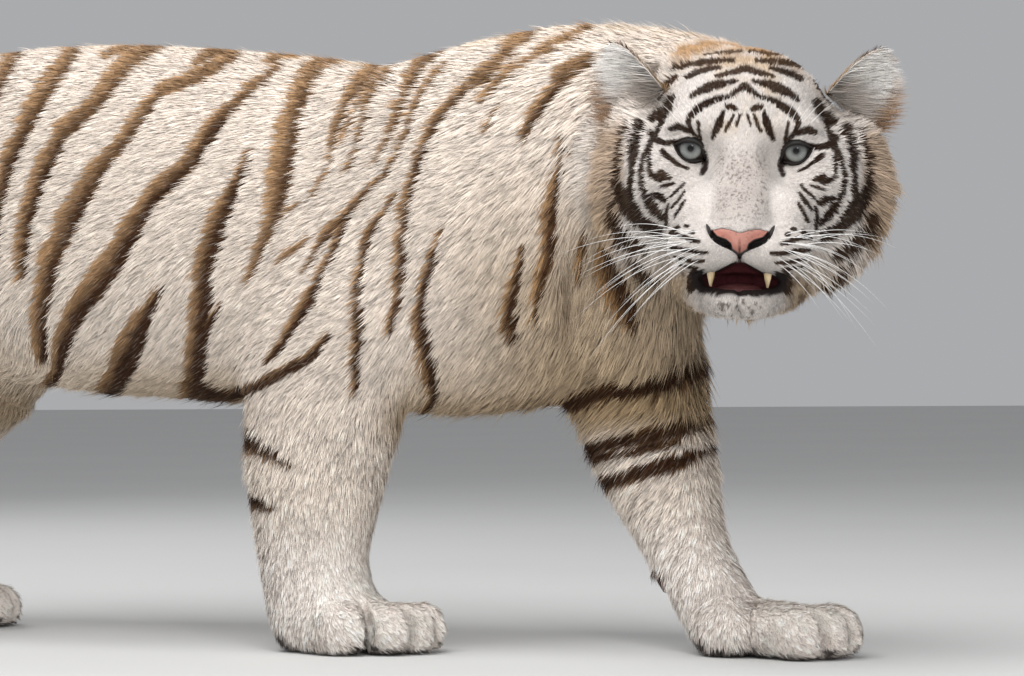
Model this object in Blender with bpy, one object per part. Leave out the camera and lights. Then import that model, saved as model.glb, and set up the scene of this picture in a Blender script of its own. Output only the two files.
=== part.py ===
"""White tiger, life size: a still museum model in a walking stance, its head turned to its right.

Frame: +X towards the front of the body, +Y to its left, +Z up, the floor at Z = 0.
The body is laid out in a working frame whose origin is under the right forefoot's line, and the
whole model is moved at the end so that the row's origin is the middle of its box on the floor.
Every size includes the coat, out to the tips of the hair. Metres throughout.
"""

import math

import bmesh
import bpy
from mathutils import Matrix, Vector

# ---------------------------------------------------------------- driving sizes
BACK_HEIGHT = 0.748          # top of the back behind the shoulders, coat included
BELLY_HEIGHT = 0.290         # hair tips under the belly
TRUNK_HALF_WIDTH = 0.196     # widest, at the last ribs
HEAD_HALF_WIDTH = 0.180      # cheek ruffs, hair tips included
EYE_SPACING = 0.118          # between the pupils
EYEBALL_RADIUS = 0.019
CANINE_LENGTH = 0.0385       # of the upper teeth, from the gum to the point
FOOT_HALF_LENGTH = 0.100
FOOT_HALF_WIDTH = 0.062
GAP = 0.0005                 # clearance between neighbouring solids

BODY_VOXEL = 0.006           # grain of the fused body
HEAD_VOXEL = 0.004
BODY_TRIANGLES = 2600        # kept in the fused body
HEAD_TRIANGLES = 1500        # kept in the fused head
ENVELOPE_VOXEL = 0.012       # the same for the spaces that part the legs off
ENVELOPE_TRIANGLES = 200

# ---------------------------------------------------------------- places (working frame)
RIGHT_FOREFOOT = Vector((-0.004, -0.110, 0.0))
LEFT_FOREFOOT = Vector((0.492, -0.030, 0.0))
RIGHT_HINDFOOT = Vector((-0.860, -0.115, 0.0))
LEFT_HINDFOOT = Vector((-0.718, 0.110, 0.0))
EYES_MIDDLE = Vector((0.522, -0.180, 0.572))
HEAD_YAW = math.radians(-69.0)       # the face's direction, from +X
HEAD_ROLL = math.radians(-2.3)       # the left eye is a little lower than the right

SIDES = {"right": -1, "left": 1}


# ---------------------------------------------------------------- scene helpers
def clear_scene():
    for old in list(bpy.data.objects):
        bpy.data.objects.remove(old)


def add_object(name, mesh):
    made = bpy.data.objects.new(name, mesh)
    bpy.context.scene.collection.objects.link(made)
    return made


def object_from(name, corners, faces):
    mesh = bpy.data.meshes.new(name)
    mesh.from_pydata([tuple(c) for c in corners], [], faces)
    mesh.update()
    return add_object(name, mesh)


def drop(*objects):
    for o in objects:
        bpy.data.objects.remove(o)


def evaluated(obj, name=None):
    """A new object holding obj's mesh with its modifiers applied; obj is removed."""
    bpy.context.view_layer.update()
    graph = bpy.context.evaluated_depsgraph_get()
    mesh = bpy.data.meshes.new_from_object(obj.evaluated_get(graph))
    mesh.transform(obj.matrix_world)
    wanted = name or obj.name
    bpy.data.objects.remove(obj)
    return add_object(wanted, mesh)


def copy_of(obj, name):
    return add_object(name, obj.data.copy())


def joined(name, objects):
    """One object holding all the meshes; the sources are removed."""
    together = bmesh.new()
    for o in objects:
        mesh = o.data.copy()
        mesh.transform(o.matrix_world)
        together.from_mesh(mesh)
        bpy.data.meshes.remove(mesh)
    mesh = bpy.data.meshes.new(name)
    together.to_mesh(mesh)
    together.free()
    drop(*objects)
    return add_object(name, mesh)


def boolean(obj, operation, cutter):
    """obj less cutter, or limited to it; cutter is removed. The fused skin folds over itself by a
    hair here and there, which the exact solver refuses, so this is the manifold one.
    """
    name = obj.name
    step = obj.modifiers.new("cut", "BOOLEAN")
    step.operation = operation
    step.solver = "MANIFOLD"
    step.object = cutter
    done = evaluated(obj, name)
    drop(cutter)
    return done


# ---------------------------------------------------------------- shape helpers
def ring(centre, side, up, half_side, half_up, points=20, power=2.0):
    """Corners of a superellipse round centre, in the plane of side and up."""
    corners = []
    for i in range(points):
        turn = 2 * math.pi * i / points
        c, s = math.cos(turn), math.sin(turn)
        across = math.copysign(abs(c) ** (2 / power), c) * half_side
        above = math.copysign(abs(s) ** (2 / power), s) * half_up
        corners.append(centre + side * across + up * above)
    return corners


def loft(name, rings):
    """A closed tube through rings of equal count."""
    count = len(rings[0])
    corners = [c for one in rings for c in one]
    faces = []
    for row in range(len(rings) - 1):
        for i in range(count):
            j = (i + 1) % count
            a, b = row * count, (row + 1) * count
            faces.append((a + i, a + j, b + j, b + i))
    faces.append(tuple(reversed(range(count))))
    faces.append(tuple((len(rings) - 1) * count + i for i in range(count)))
    made = object_from(name, corners, faces)
    tidy = bmesh.new()
    tidy.from_mesh(made.data)
    bmesh.ops.recalc_face_normals(tidy, faces=tidy.faces)
    tidy.to_mesh(made.data)
    tidy.free()
    return made


def smooth_between(values, share):
    """Catmull-Rom through a list of numbers or vectors, share from 0 to 1 along it."""
    spans = len(values) - 1
    place = min(share * spans, spans - 1e-6)
    i = int(place)
    t = place - i
    p0 = values[max(i - 1, 0)]
    p1, p2 = values[i], values[i + 1]
    p3 = values[min(i + 2, spans)]
    return 0.5 * (
        2 * p1
        + (p2 - p0) * t
        + (2 * p0 - 5 * p1 + 4 * p2 - p3) * t * t
        + (3 * p1 - p0 - 3 * p2 + p3) * t ** 3
    )


def limb(name, stations):
    """A tube along stations of (centre, half size fore and aft, half size sideways)."""
    steps = 4
    side = Vector((0, 1, 0))
    centres = [Vector(s[0]) for s in stations]
    deep = [s[1] for s in stations]
    wide = [s[2] for s in stations]
    rows = (len(stations) - 1) * steps
    places = [smooth_between(centres, i / rows) for i in range(rows + 1)]
    rings = []
    for i, place in enumerate(places):
        ahead = places[min(i + 1, rows)] - places[max(i - 1, 0)]
        along = ahead.normalized()
        across = (side - along * side.dot(along)).normalized()
        fore = across.cross(along)
        share = i / rows
        rings.append(ring(place, across, fore, smooth_between(wide, share),
                          smooth_between(deep, share)))
    return loft(name, rings)


def ball(name, centre, radii, frame=Matrix.Identity(3), segments=24):
    """An ellipsoid whose own axes are frame's columns."""
    mesh = bpy.data.meshes.new(name)
    shape = bmesh.new()
    bmesh.ops.create_uvsphere(shape, u_segments=segments, v_segments=segments // 2, radius=1.0)
    shape.to_mesh(mesh)
    shape.free()
    size = Matrix.Diagonal(Vector(radii)).to_4x4()
    mesh.transform(Matrix.Translation(centre) @ frame.to_4x4() @ size)
    return add_object(name, mesh)


def block(name, centre, half, frame=Matrix.Identity(3)):
    """A box of half sizes half, its axes frame's columns."""
    mesh = bpy.data.meshes.new(name)
    shape = bmesh.new()
    bmesh.ops.create_cube(shape, size=2.0)
    shape.to_mesh(mesh)
    shape.free()
    size = Matrix.Diagonal(Vector(half)).to_4x4()
    mesh.transform(Matrix.Translation(centre) @ frame.to_4x4() @ size)
    return add_object(name, mesh)


def fused(name, pieces, voxel, rounds, triangles, keep_below=None):
    """The pieces run together into one skin, softened, and thinned to about that many triangles.

    Below the height keep_below, the softening fades, so that the toes stay crisp.
    """
    body = joined(name, pieces)
    remesh = body.modifiers.new("fuse", "REMESH")
    remesh.mode = "VOXEL"
    remesh.voxel_size = voxel
    body = evaluated(body, name)
    group = body.vertex_groups.new(name="soft")
    for v in body.data.vertices:
        share = 1.0 if keep_below is None else (v.co.z - keep_below) / keep_below
        group.add([v.index], min(max(share, 0.12), 1.0), "REPLACE")
    soften = body.modifiers.new("soften", "SMOOTH")
    soften.factor = 0.5
    soften.iterations = rounds
    soften.vertex_group = group.name
    thin = body.modifiers.new("thin", "DECIMATE")
    thin.use_collapse_triangulate = True
    thin.ratio = triangles / (2 * len(body.data.polygons))
    body = evaluated(body, name)
    body.vertex_groups.clear()
    return body


# ---------------------------------------------------------------- head frame
def head_frame():
    """Columns: forward out of the face, the tiger's left, up."""
    yaw = Matrix.Rotation(HEAD_YAW, 3, "Z")
    roll = Matrix.Rotation(HEAD_ROLL, 3, "X")
    return yaw @ roll


HEAD = head_frame()


def on_head(forward, left, up):
    """A point given from the middle of the two pupils, in the head's own directions."""
    return EYES_MIDDLE + HEAD @ Vector((forward, left, up))


def head_ball(name, place, radii, segments=24):
    return ball(name, on_head(*place), radii, HEAD, segments)


def head_loft(name, stations, power=2.2):
    """A tube through the head along its forward axis: (forward, middle up, half width, half height)."""
    rings = []
    for forward, up, half_width, half_height in stations:
        rings.append(ring(on_head(forward, 0, up), HEAD.col[1], HEAD.col[2],
                          half_width, half_height, power=power))
    return loft(name, rings)


# ---------------------------------------------------------------- trunk, neck and tail
def trunk_shape():
    """(x, top, bottom, half width, squareness) from rump to breast."""
    stations = (
        (-0.838, 0.632, 0.485, 0.050, 2.0),
        (-0.795, 0.686, 0.410, 0.108, 2.0),
        (-0.710, 0.720, 0.360, 0.142, 2.1),
        (-0.600, 0.741, 0.330, 0.162, 2.2),
        (-0.480, BACK_HEIGHT + 0.002, 0.312, 0.172, 2.3),
        (-0.360, BACK_HEIGHT, 0.298, 0.186, 2.3),
        (-0.220, 0.736, BELLY_HEIGHT, TRUNK_HALF_WIDTH, 2.3),
        (-0.100, 0.721, 0.286, 0.192, 2.3),
        (0.000, 0.705, 0.282, 0.180, 2.3),
        (0.100, 0.722, 0.274, 0.168, 2.2),
        (0.190, 0.735, 0.282, 0.155, 2.1),
        (0.270, 0.738, 0.315, 0.135, 2.0),
        (0.330, 0.705, 0.370, 0.100, 2.0),
    )
    rings = []
    for x, top, bottom, half_width, power in stations:
        middle = Vector((x, 0, (top + bottom) / 2))
        rings.append(ring(middle, Vector((0, 1, 0)), Vector((0, 0, 1)),
                          half_width, (top - bottom) / 2, points=32, power=power))
    return loft("trunk_shape", rings)


NECK_STATIONS = (
    ((0.080, 0.000, 0.545), 0.178, 0.150),
    ((0.180, 0.004, 0.562), 0.177, 0.150),
    ((0.280, 0.006, 0.582), 0.168, 0.142),
    ((0.360, -0.004, 0.588), 0.148, 0.134),
    ((0.420, -0.036, 0.586), 0.134, 0.128),
    ((0.455, -0.090, 0.580), 0.124, 0.120),
)


def neck_shape():
    """The thick neck, bending to the right into the back of the head."""
    return limb("neck_shape", NECK_STATIONS)


TAIL_STATIONS = (
    ((-0.780, 0.000, 0.620), 0.062, 0.060),
    ((-0.850, 0.000, 0.598), 0.050, 0.048),
    ((-0.915, 0.000, 0.530), 0.038, 0.037),
    ((-0.955, 0.004, 0.430), 0.034, 0.034),
    ((-0.985, 0.010, 0.320), 0.033, 0.033),
    ((-1.030, 0.018, 0.220), 0.032, 0.032),
    ((-1.105, 0.026, 0.160), 0.030, 0.030),
    ((-1.190, 0.032, 0.150), 0.027, 0.027),
    ((-1.265, 0.036, 0.180), 0.020, 0.020),
    ((-1.295, 0.037, 0.203), 0.008, 0.008),
)


def tail_shape():
    return limb("tail_shape", TAIL_STATIONS)


def shoulder_shapes():
    """Shoulder blade, upper arm and elbow masses on each side, the right arm upright."""
    masses = []
    for side, blade, arm in (
        ("right", Vector((0.035, -0.095, 0.548)), Vector((-0.015, -0.122, 0.405))),
        ("left", Vector((0.135, 0.092, 0.543)), Vector((0.205, 0.108, 0.410))),
    ):
        lean = Matrix.Rotation(math.radians(-14 if side == "right" else 12), 3, "Y")
        masses.append(ball(f"blade_{side}", blade, (0.105, 0.082, 0.150), lean))
        masses.append(ball(f"arm_{side}", arm, (0.125, 0.074, 0.125), lean))
    masses.append(ball("breast", Vector((0.322, 0.000, 0.430)), (0.076, 0.105, 0.120)))
    return masses


def haunch_shapes():
    """Thigh and rump masses on each side, the right leg further back."""
    masses = []
    for side, thigh, lean in (
        ("right", Vector((-0.660, -0.100, 0.470)), 10),
        ("left", Vector((-0.635, 0.100, 0.470)), -2),
    ):
        turned = Matrix.Rotation(math.radians(lean), 3, "Y")
        masses.append(ball(f"thigh_{side}", thigh, (0.155, 0.086, 0.190), turned))
        rump = Vector((-0.700, thigh.y * 0.62, 0.580))
        masses.append(ball(f"rump_{side}", rump, (0.122, 0.086, 0.118), turned))
    return masses


# ---------------------------------------------------------------- legs
LEGS = {
    "foreleg_right": (
        ((-0.020, -0.122, 0.400), 0.120, 0.072),
        ((-0.040, -0.117, 0.300), 0.112, 0.074),
        ((-0.052, -0.113, 0.240), 0.098, 0.070),
        ((-0.057, -0.111, 0.170), 0.084, 0.063),
        ((-0.060, -0.110, 0.110), 0.073, 0.057),
        ((-0.052, -0.110, 0.060), 0.072, 0.056),
        ((-0.044, -0.110, 0.005), 0.060, 0.050),
    ),
    "foreleg_left": (
        ((0.240, 0.100, 0.400), 0.113, 0.072),
        ((0.284, 0.078, 0.310), 0.097, 0.074),
        ((0.313, 0.058, 0.240), 0.081, 0.070),
        ((0.343, 0.034, 0.170), 0.063, 0.061),
        ((0.376, 0.010, 0.110), 0.052, 0.055),
        ((0.413, -0.008, 0.062), 0.049, 0.054),
        ((0.445, -0.020, 0.010), 0.046, 0.050),
    ),
    "hindleg_right": (
        ((-0.650, -0.100, 0.470), 0.148, 0.080),
        ((-0.665, -0.112, 0.390), 0.130, 0.078),
        ((-0.715, -0.118, 0.312), 0.100, 0.066),
        ((-0.800, -0.120, 0.248), 0.072, 0.052),
        ((-0.885, -0.118, 0.205), 0.054, 0.044),
        ((-0.925, -0.116, 0.155), 0.046, 0.042),
        ((-0.918, -0.115, 0.090), 0.044, 0.043),
        ((-0.902, -0.115, 0.008), 0.046, 0.045),
    ),
    "hindleg_left": (
        ((-0.630, 0.100, 0.470), 0.145, 0.080),
        ((-0.650, 0.112, 0.385), 0.125, 0.078),
        ((-0.695, 0.118, 0.310), 0.090, 0.064),
        ((-0.755, 0.119, 0.250), 0.066, 0.050),
        ((-0.795, 0.117, 0.200), 0.052, 0.043),
        ((-0.808, 0.114, 0.150), 0.045, 0.041),
        ((-0.790, 0.112, 0.090), 0.043, 0.043),
        ((-0.768, 0.110, 0.008), 0.046, 0.045),
    ),
}
# Each toe: share of the foot's half length forward, share of its half width left, and its size.
LEVEL_TOES = ((0.56, -0.70, 1.0), (0.78, -0.25, 1.0), (0.78, 0.25, 1.0), (0.56, 0.70, 1.0))
SPREAD_TOES = ((0.15, -0.82, 1.2), (0.66, -0.30, 1.0), (0.80, 0.22, 1.0), (0.68, 0.72, 1.0))
TOE_HALF_LENGTH = 0.034
TOE_HALF_WIDTH = 0.0205
TOE_HALF_HEIGHT = 0.038
TOE_HEIGHT = 0.029           # of a toe's middle above the floor
PAD_HALF_HEIGHT = 0.040
KNUCKLE_HEIGHT = 0.036
KNUCKLE_HALF_LENGTH = 0.055
KNUCKLE_HALF_HEIGHT = 0.034
WRIST_CUT = 0.082            # the paw ends here, above the floor
# Each foot: its place, the way it points, its size, and its toes.
FEET = {
    "foreleg_right": (RIGHT_FOREFOOT, math.radians(-16), 1.00, SPREAD_TOES),
    "foreleg_left": (LEFT_FOREFOOT, math.radians(-9), 1.00, LEVEL_TOES),
    "hindleg_right": (RIGHT_HINDFOOT, math.radians(-5), 0.90, LEVEL_TOES),
    "hindleg_left": (LEFT_HINDFOOT, math.radians(5), 0.90, LEVEL_TOES),
}


def foot_shapes(leg):
    """The paw: a low back part and four toes, reaching just through the floor plane."""
    place, turn, size, toes = FEET[leg]
    frame = Matrix.Rotation(turn, 3, "Z")

    def spot(forward, left, up):
        return place + frame @ Vector((forward, left, up))

    half_length, half_width = FOOT_HALF_LENGTH * size, FOOT_HALF_WIDTH * size
    back = ball(f"{leg}_pad", spot(-0.15 * half_length, 0, TOE_HEIGHT),
                (0.78 * half_length, 0.90 * half_width, PAD_HALF_HEIGHT), frame)
    knuckles = ball(f"{leg}_knuckles", spot(0.16 * half_length, 0, KNUCKLE_HEIGHT * size),
                    (KNUCKLE_HALF_LENGTH * size, 0.90 * half_width, KNUCKLE_HALF_HEIGHT * size), frame)
    shapes = [back, knuckles]
    for i, (forward, left, fat) in enumerate(toes):
        radii = (TOE_HALF_LENGTH * size * fat, TOE_HALF_WIDTH * size * fat, TOE_HALF_HEIGHT * size)
        middle = spot(forward * half_length, left * half_width, TOE_HEIGHT * size)
        shapes.append(ball(f"{leg}_toe_{i}", middle, radii, frame))
    return shapes


# ---------------------------------------------------------------- head
def head_back_shapes():
    """Braincase, nape, throat and ruffs: what the neck runs into, so the body has them too."""
    shapes = [
        head_ball("cranium", (-0.112, 0, 0.032), (0.098, 0.108, 0.101)),
        head_ball("nape", (-0.165, 0, -0.005), (0.085, 0.120, 0.120)),
        head_ball("throat", (-0.115, 0, -0.108), (0.085, 0.086, 0.074)),
    ]
    for side, s in SIDES.items():
        shapes += [
            head_ball(f"ruff_{side}", (-0.118, s * 0.112, -0.028),
                      (0.060, HEAD_HALF_WIDTH - 0.112, 0.088)),
            head_ball(f"low_ruff_{side}", (-0.105, s * 0.086, -0.080), (0.058, 0.062, 0.064)),
        ]
    return shapes


def face_shapes():
    """Forehead, bridge, brows, cheeks, muzzle and chin."""
    shapes = [
        head_ball("forehead", (-0.054, 0, 0.030), (0.066, 0.082, 0.066)),
        head_loft("bridge", ((-0.040, -0.005, 0.056, 0.044), (-0.010, -0.018, 0.047, 0.038),
                             (0.030, -0.042, 0.040, 0.037), (0.068, -0.068, 0.038, 0.036),
                             (0.096, -0.087, 0.032, 0.028), (0.108, -0.100, 0.022, 0.018))),
        head_loft("muzzle", ((-0.060, -0.085, 0.086, 0.062), (-0.010, -0.094, 0.080, 0.050),
                             (0.040, -0.105, 0.070, 0.040), (0.078, -0.112, 0.056, 0.032),
                             (0.098, -0.115, 0.036, 0.022))),
        head_loft("jaw", ((-0.080, -0.120, 0.080, 0.052), (-0.030, -0.140, 0.062, 0.036),
                          (0.020, -0.156, 0.046, 0.026), (0.060, -0.160, 0.038, 0.024),
                          (0.080, -0.160, 0.025, 0.017))),
    ]
    for side, s in SIDES.items():
        shapes += [
            head_ball(f"brow_{side}", (-0.034, s * 0.052, 0.024), (0.036, 0.038, 0.027)),
            head_ball(f"cheek_{side}", (-0.054, s * 0.082, -0.038), (0.066, 0.054, 0.062)),
            head_ball(f"upper_jaw_{side}", (0.010, s * 0.040, -0.066), (0.060, 0.034, 0.044)),
            head_ball(f"lip_{side}", (0.058, s * 0.040, -0.114), (0.046, 0.042, 0.033)),
        ]
    return shapes


def ear_shape(name, s, grow=0.0):
    """A rounded ear: a bowl cut open to the front, on a thick root sunk into the head."""
    root = on_head(-0.118, s * 0.106, 0.062)
    tip_way = HEAD @ Vector((0.00, s * 0.66, 0.75)).normalized()
    face_way = HEAD @ Vector((0.80, s * 0.52, -0.05))
    across = face_way.cross(tip_way).normalized()
    face_way = tip_way.cross(across).normalized()
    frame = Matrix((across, face_way, tip_way)).transposed()
    length, half_width = 0.074, 0.039
    outer = ball(name, root + tip_way * 0.020,
                 (half_width + grow, 0.024 + grow, length * 0.80 + grow), frame, segments=16)
    bowl = ball("bowl", root + tip_way * 0.030 + face_way * 0.016,
                (half_width - 0.007 - grow, 0.021 - grow, length * 0.66 - grow), frame, segments=14)
    return boolean(outer, "DIFFERENCE", bowl)


def eye_centre(s):
    return on_head(-0.013, s * EYE_SPACING / 2, 0.0)


def tooth_shape(name, s, grow=0.0):
    """Upper canine: a tapering, slightly bent peg, its point just below the lip."""
    rings = []
    for share in (0.0, 0.25, 0.5, 0.75, 1.0):
        radius = 0.0066 * (1 - share) ** 0.7 + 0.0012 + grow
        place = on_head(0.060 - 0.004 * share ** 2, s * 0.031, -0.112 - CANINE_LENGTH * share)
        rings.append(ring(place, HEAD.col[0], HEAD.col[1], radius, radius, points=10))
    return loft(name, rings)


def mouth_hollow():
    """The parted lips: a low wedge-shaped hollow, open to the front, wider at the corners."""
    rings = []
    for forward, up, half_width, half_height in (
        (-0.015, -0.142, 0.040, 0.006), (0.020, -0.142, 0.044, 0.012),
        (0.055, -0.143, 0.046, 0.0150), (0.110, -0.144, 0.045, 0.0155),
    ):
        rings.append(ring(on_head(forward, 0, up), HEAD.col[1], HEAD.col[2],
                          half_width, half_height, points=16, power=2.2))
    return loft("mouth_hollow", rings)


def head_space():
    """The space that the head fills, from the nape forward."""
    return block("head_space", on_head(0.020, 0, 0), (0.205, 0.195, 0.250), HEAD)


def jaw_region():
    """The space that the lower jaw fills, under the mouth and forward of the throat."""
    return block("jaw_region", on_head(0.030, 0, -0.220), (0.075, 0.075, 0.064), HEAD)


def tongue_shape(name, grow=0.0):
    return head_ball(name, (0.024, 0, -0.1540), (0.036 + grow, 0.028 + grow, 0.0080 + grow), 14)


def nose_shape(name, grow=0.0):
    """The nose leather: a wide wedge, tapering down to the lip."""
    rings = []
    for up, half_width, half_depth in (
        (-0.082, 0.025, 0.006), (-0.087, 0.031, 0.013), (-0.094, 0.032, 0.016),
        (-0.104, 0.025, 0.016), (-0.114, 0.011, 0.012), (-0.120, 0.004, 0.008),
    ):
        rings.append(ring(on_head(0.101, 0, up), HEAD.col[1], HEAD.col[0],
                          half_width + grow, half_depth + grow, points=14, power=2.3))
    return loft(name, rings)


# ---------------------------------------------------------------- parting
def leg_envelope(leg):
    """The space that a leg fills: its own tube made fatter, with a domed top, and the whole foot."""
    stations = [(s[0], s[1] + 0.022 + 0.012 * i, s[2] + 0.024 + 0.004 * i)
                for i, s in enumerate(LEGS[leg][1:-2])]
    top, first = Vector(LEGS[leg][0][0]), LEGS[leg][0]
    middle = top.lerp(Vector(LEGS[leg][1][0]), 0.55)
    dome = [
        (top.lerp(middle, 0.05), first[1] * 0.35, first[2] * 0.35),
        (top.lerp(middle, 0.25), first[1] * 0.78, first[2] * 0.80),
        (middle, first[1] + 0.006, first[2] + 0.014),
    ]
    tube = limb(f"{leg}_tube", dome + stations)
    place, turn = FEET[leg][:2]
    foot = block(f"{leg}_foot_space", Vector((place.x - 0.030, place.y, 0.105)),
                 (0.165, 0.086, 0.135), Matrix.Rotation(turn, 3, "Z"))
    return fused(f"{leg}_space", [tube, foot], ENVELOPE_VOXEL, 4, ENVELOPE_TRIANGLES)


def half_space(name, place, normal, size=3.0):
    """A big block on the side of a plane that normal points to."""
    normal = Vector(normal).normalized()
    turn = normal.to_track_quat("Z", "Y").to_matrix()
    return block(name, Vector(place) + normal * size, (size, size, size), turn)


def swollen(obj, amount):
    """A copy of obj with its skin moved out by amount."""
    shape = bmesh.new()
    shape.from_mesh(obj.data)
    shape.normal_update()
    out = [v.normal * v.calc_shell_factor() for v in shape.verts]
    for v, way in zip(shape.verts, out):
        v.co += way * amount
    mesh = bpy.data.meshes.new(obj.name)
    shape.to_mesh(mesh)
    shape.free()
    return add_object(obj.name + "_wider", mesh)


def part_off(body, region, name):
    """The part of body inside region, and the rest of the body, with a thin gap between."""
    shape = bmesh.new()
    shape.from_mesh(region.data)
    bmesh.ops.triangulate(shape, faces=shape.faces)
    shape.to_mesh(region.data)
    shape.free()
    wider = swollen(region, GAP)
    piece = boolean(copy_of(body, name), "INTERSECT", region)
    rest = boolean(body, "DIFFERENCE", wider)
    return piece, rest


def sliced(piece, place, normal, upper_name, lower_name):
    """piece in two at a plane: what lies on normal's side gets upper_name."""
    normal = Vector(normal).normalized()
    place = Vector(place)
    upper = boolean(copy_of(piece, upper_name), "INTERSECT",
                    half_space("half", place + normal * GAP / 2, normal))
    lower = boolean(piece, "DIFFERENCE",
                    half_space("half", place - normal * GAP / 2, normal))
    lower.name = lower_name
    upper.name = upper_name
    return upper, lower


# ---------------------------------------------------------------- materials
COATS = {
    "coat": (0.80, 0.76, 0.69, 0.85, 0.0),
    "coat_legs": (0.84, 0.80, 0.73, 0.85, 0.0),
    "nose_leather": (0.72, 0.36, 0.31, 0.45, 0.0),
    "eye": (0.45, 0.56, 0.60, 0.08, 0.0),
    "tongue": (0.42, 0.12, 0.13, 0.40, 0.0),
    "tooth": (0.86, 0.80, 0.66, 0.30, 0.0),
}


def finish_of(name):
    red, green, blue, roughness, metallic = COATS[name]
    made = bpy.data.materials.get(name) or bpy.data.materials.new(name)
    made.use_nodes = True
    shader = made.node_tree.nodes["Principled BSDF"]
    shader.inputs["Base Color"].default_value = (red, green, blue, 1.0)
    shader.inputs["Roughness"].default_value = roughness
    shader.inputs["Metallic"].default_value = metallic
    return made


def slot_of(name):
    for key, slot in (("eye", "eye"), ("nose", "nose_leather"), ("tongue", "tongue"),
                      ("canine", "tooth"), ("leg", "coat_legs"), ("paw", "coat_legs")):
        if key in name:
            return slot
    return "coat"


# ---------------------------------------------------------------- assembly
def build():
    clear_scene()
    shapes = [trunk_shape(), neck_shape(), tail_shape(), *shoulder_shapes(), *haunch_shapes(),
              *head_back_shapes()]
    for leg, stations in LEGS.items():
        shapes.append(limb(f"{leg}_shape", stations))
        shapes += foot_shapes(leg)
    body = fused("trunk", shapes, BODY_VOXEL, 14, BODY_TRIANGLES, keep_below=0.09)
    body = boolean(body, "INTERSECT", half_space("floor", (0, 0, 0), (0, 0, 1)))

    for leg in LEGS:
        piece, body = part_off(body, leg_envelope(leg), leg)
        paw = leg.replace("leg", "paw")
        piece.name = "whole_leg"
        sliced(piece, (0, 0, WRIST_CUT), (0, 0, 1), leg, paw)

    tail_space = block("tail_space", (-1.168, 0, 0.35), (0.3, 0.075, 0.5))
    tail, body = part_off(body, tail_space, "tail_base")
    lower, tail = sliced(tail, TAIL_STATIONS[4][0], (-0.4, 0, -1.0), "tail_middle", "tail_base")
    sliced(lower, TAIL_STATIONS[6][0], (-1.0, 0, -0.25), "tail_tip", "tail_middle")

    unused, rest = part_off(body, head_space(), "rough_head")
    drop(unused)
    neck_plane = (0.205, 0, 0.56)
    sliced(rest, neck_plane, (1.0, 0, 0.42), "neck", "trunk")

    head = fused("head", face_shapes() + head_back_shapes() + [neck_shape()],
                 HEAD_VOXEL, 8, HEAD_TRIANGLES)
    head = boolean(head, "INTERSECT", head_space())
    head = boolean(head, "DIFFERENCE", mouth_hollow())
    jaw, head = part_off(head, jaw_region(), "lower_jaw")
    for side, s in SIDES.items():
        eye = ball(f"eye_{side}", eye_centre(s), (EYEBALL_RADIUS,) * 3, HEAD, segments=16)
        socket = ball("socket", eye_centre(s), (EYEBALL_RADIUS + GAP,) * 3, HEAD, segments=16)
        head = boolean(head, "DIFFERENCE", socket)
        eye.data.shade_smooth()
        head = boolean(head, "DIFFERENCE", ear_shape("ear_space", s, GAP))
        ear_shape(f"ear_{side}", s)
        head = boolean(head, "DIFFERENCE", tooth_shape("tooth_space", s, GAP))
        tooth_shape(f"canine_upper_{side}", s)
    head = boolean(head, "DIFFERENCE", nose_shape("nose_space", GAP))
    nose_shape("nose")
    head = boolean(head, "DIFFERENCE", tongue_shape("tongue_space", GAP))
    boolean(jaw, "DIFFERENCE", tongue_shape("tongue_space", GAP))
    tongue_shape("tongue")


def settle_on_origin():
    """Moves everything so that the origin is the middle of the box, on the floor; colours the nodes."""
    nodes = [o for o in bpy.data.objects if o.type == "MESH"]
    corners = [v.co for o in nodes for v in o.data.vertices]
    low = Vector(min(c[i] for c in corners) for i in range(3))
    high = Vector(max(c[i] for c in corners) for i in range(3))
    shift = Matrix.Translation(-Vector(((low.x + high.x) / 2, (low.y + high.y) / 2, low.z)))
    for o in nodes:
        o.data.transform(shift)
        o.data.materials.clear()
        o.data.materials.append(finish_of(slot_of(o.name)))


build()
settle_on_origin()
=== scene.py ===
"""White tiger, a still life-size model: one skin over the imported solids, and a mesh coat over the skin."""

import bmesh
import bpy
import math
import numpy as np
import openvdb
from mathutils import Matrix, Vector


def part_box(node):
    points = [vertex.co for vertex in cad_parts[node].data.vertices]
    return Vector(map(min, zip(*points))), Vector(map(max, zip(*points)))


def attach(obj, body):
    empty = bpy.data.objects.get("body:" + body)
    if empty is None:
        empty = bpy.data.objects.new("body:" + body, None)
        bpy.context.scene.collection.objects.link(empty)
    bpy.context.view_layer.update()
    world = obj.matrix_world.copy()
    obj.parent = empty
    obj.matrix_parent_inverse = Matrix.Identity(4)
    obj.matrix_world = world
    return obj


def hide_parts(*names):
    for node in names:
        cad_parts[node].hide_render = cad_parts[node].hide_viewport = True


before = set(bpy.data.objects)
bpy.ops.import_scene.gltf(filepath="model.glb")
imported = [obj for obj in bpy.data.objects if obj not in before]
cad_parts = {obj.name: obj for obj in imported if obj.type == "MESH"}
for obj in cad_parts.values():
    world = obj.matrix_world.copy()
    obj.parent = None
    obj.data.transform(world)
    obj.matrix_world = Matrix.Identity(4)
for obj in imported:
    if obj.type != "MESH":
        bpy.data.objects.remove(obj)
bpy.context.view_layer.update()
CM = 0.01
MM = 0.001
SIDES = (-1, 1)
COLOURS = "coat"


# ---------------------------------------------------------------- frames
def box_centre(node):
    low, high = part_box(node)
    return (np.array(low) + np.array(high)) / 2


def turn(axis, degrees):
    return np.array(Matrix.Rotation(math.radians(degrees), 3, axis))


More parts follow.
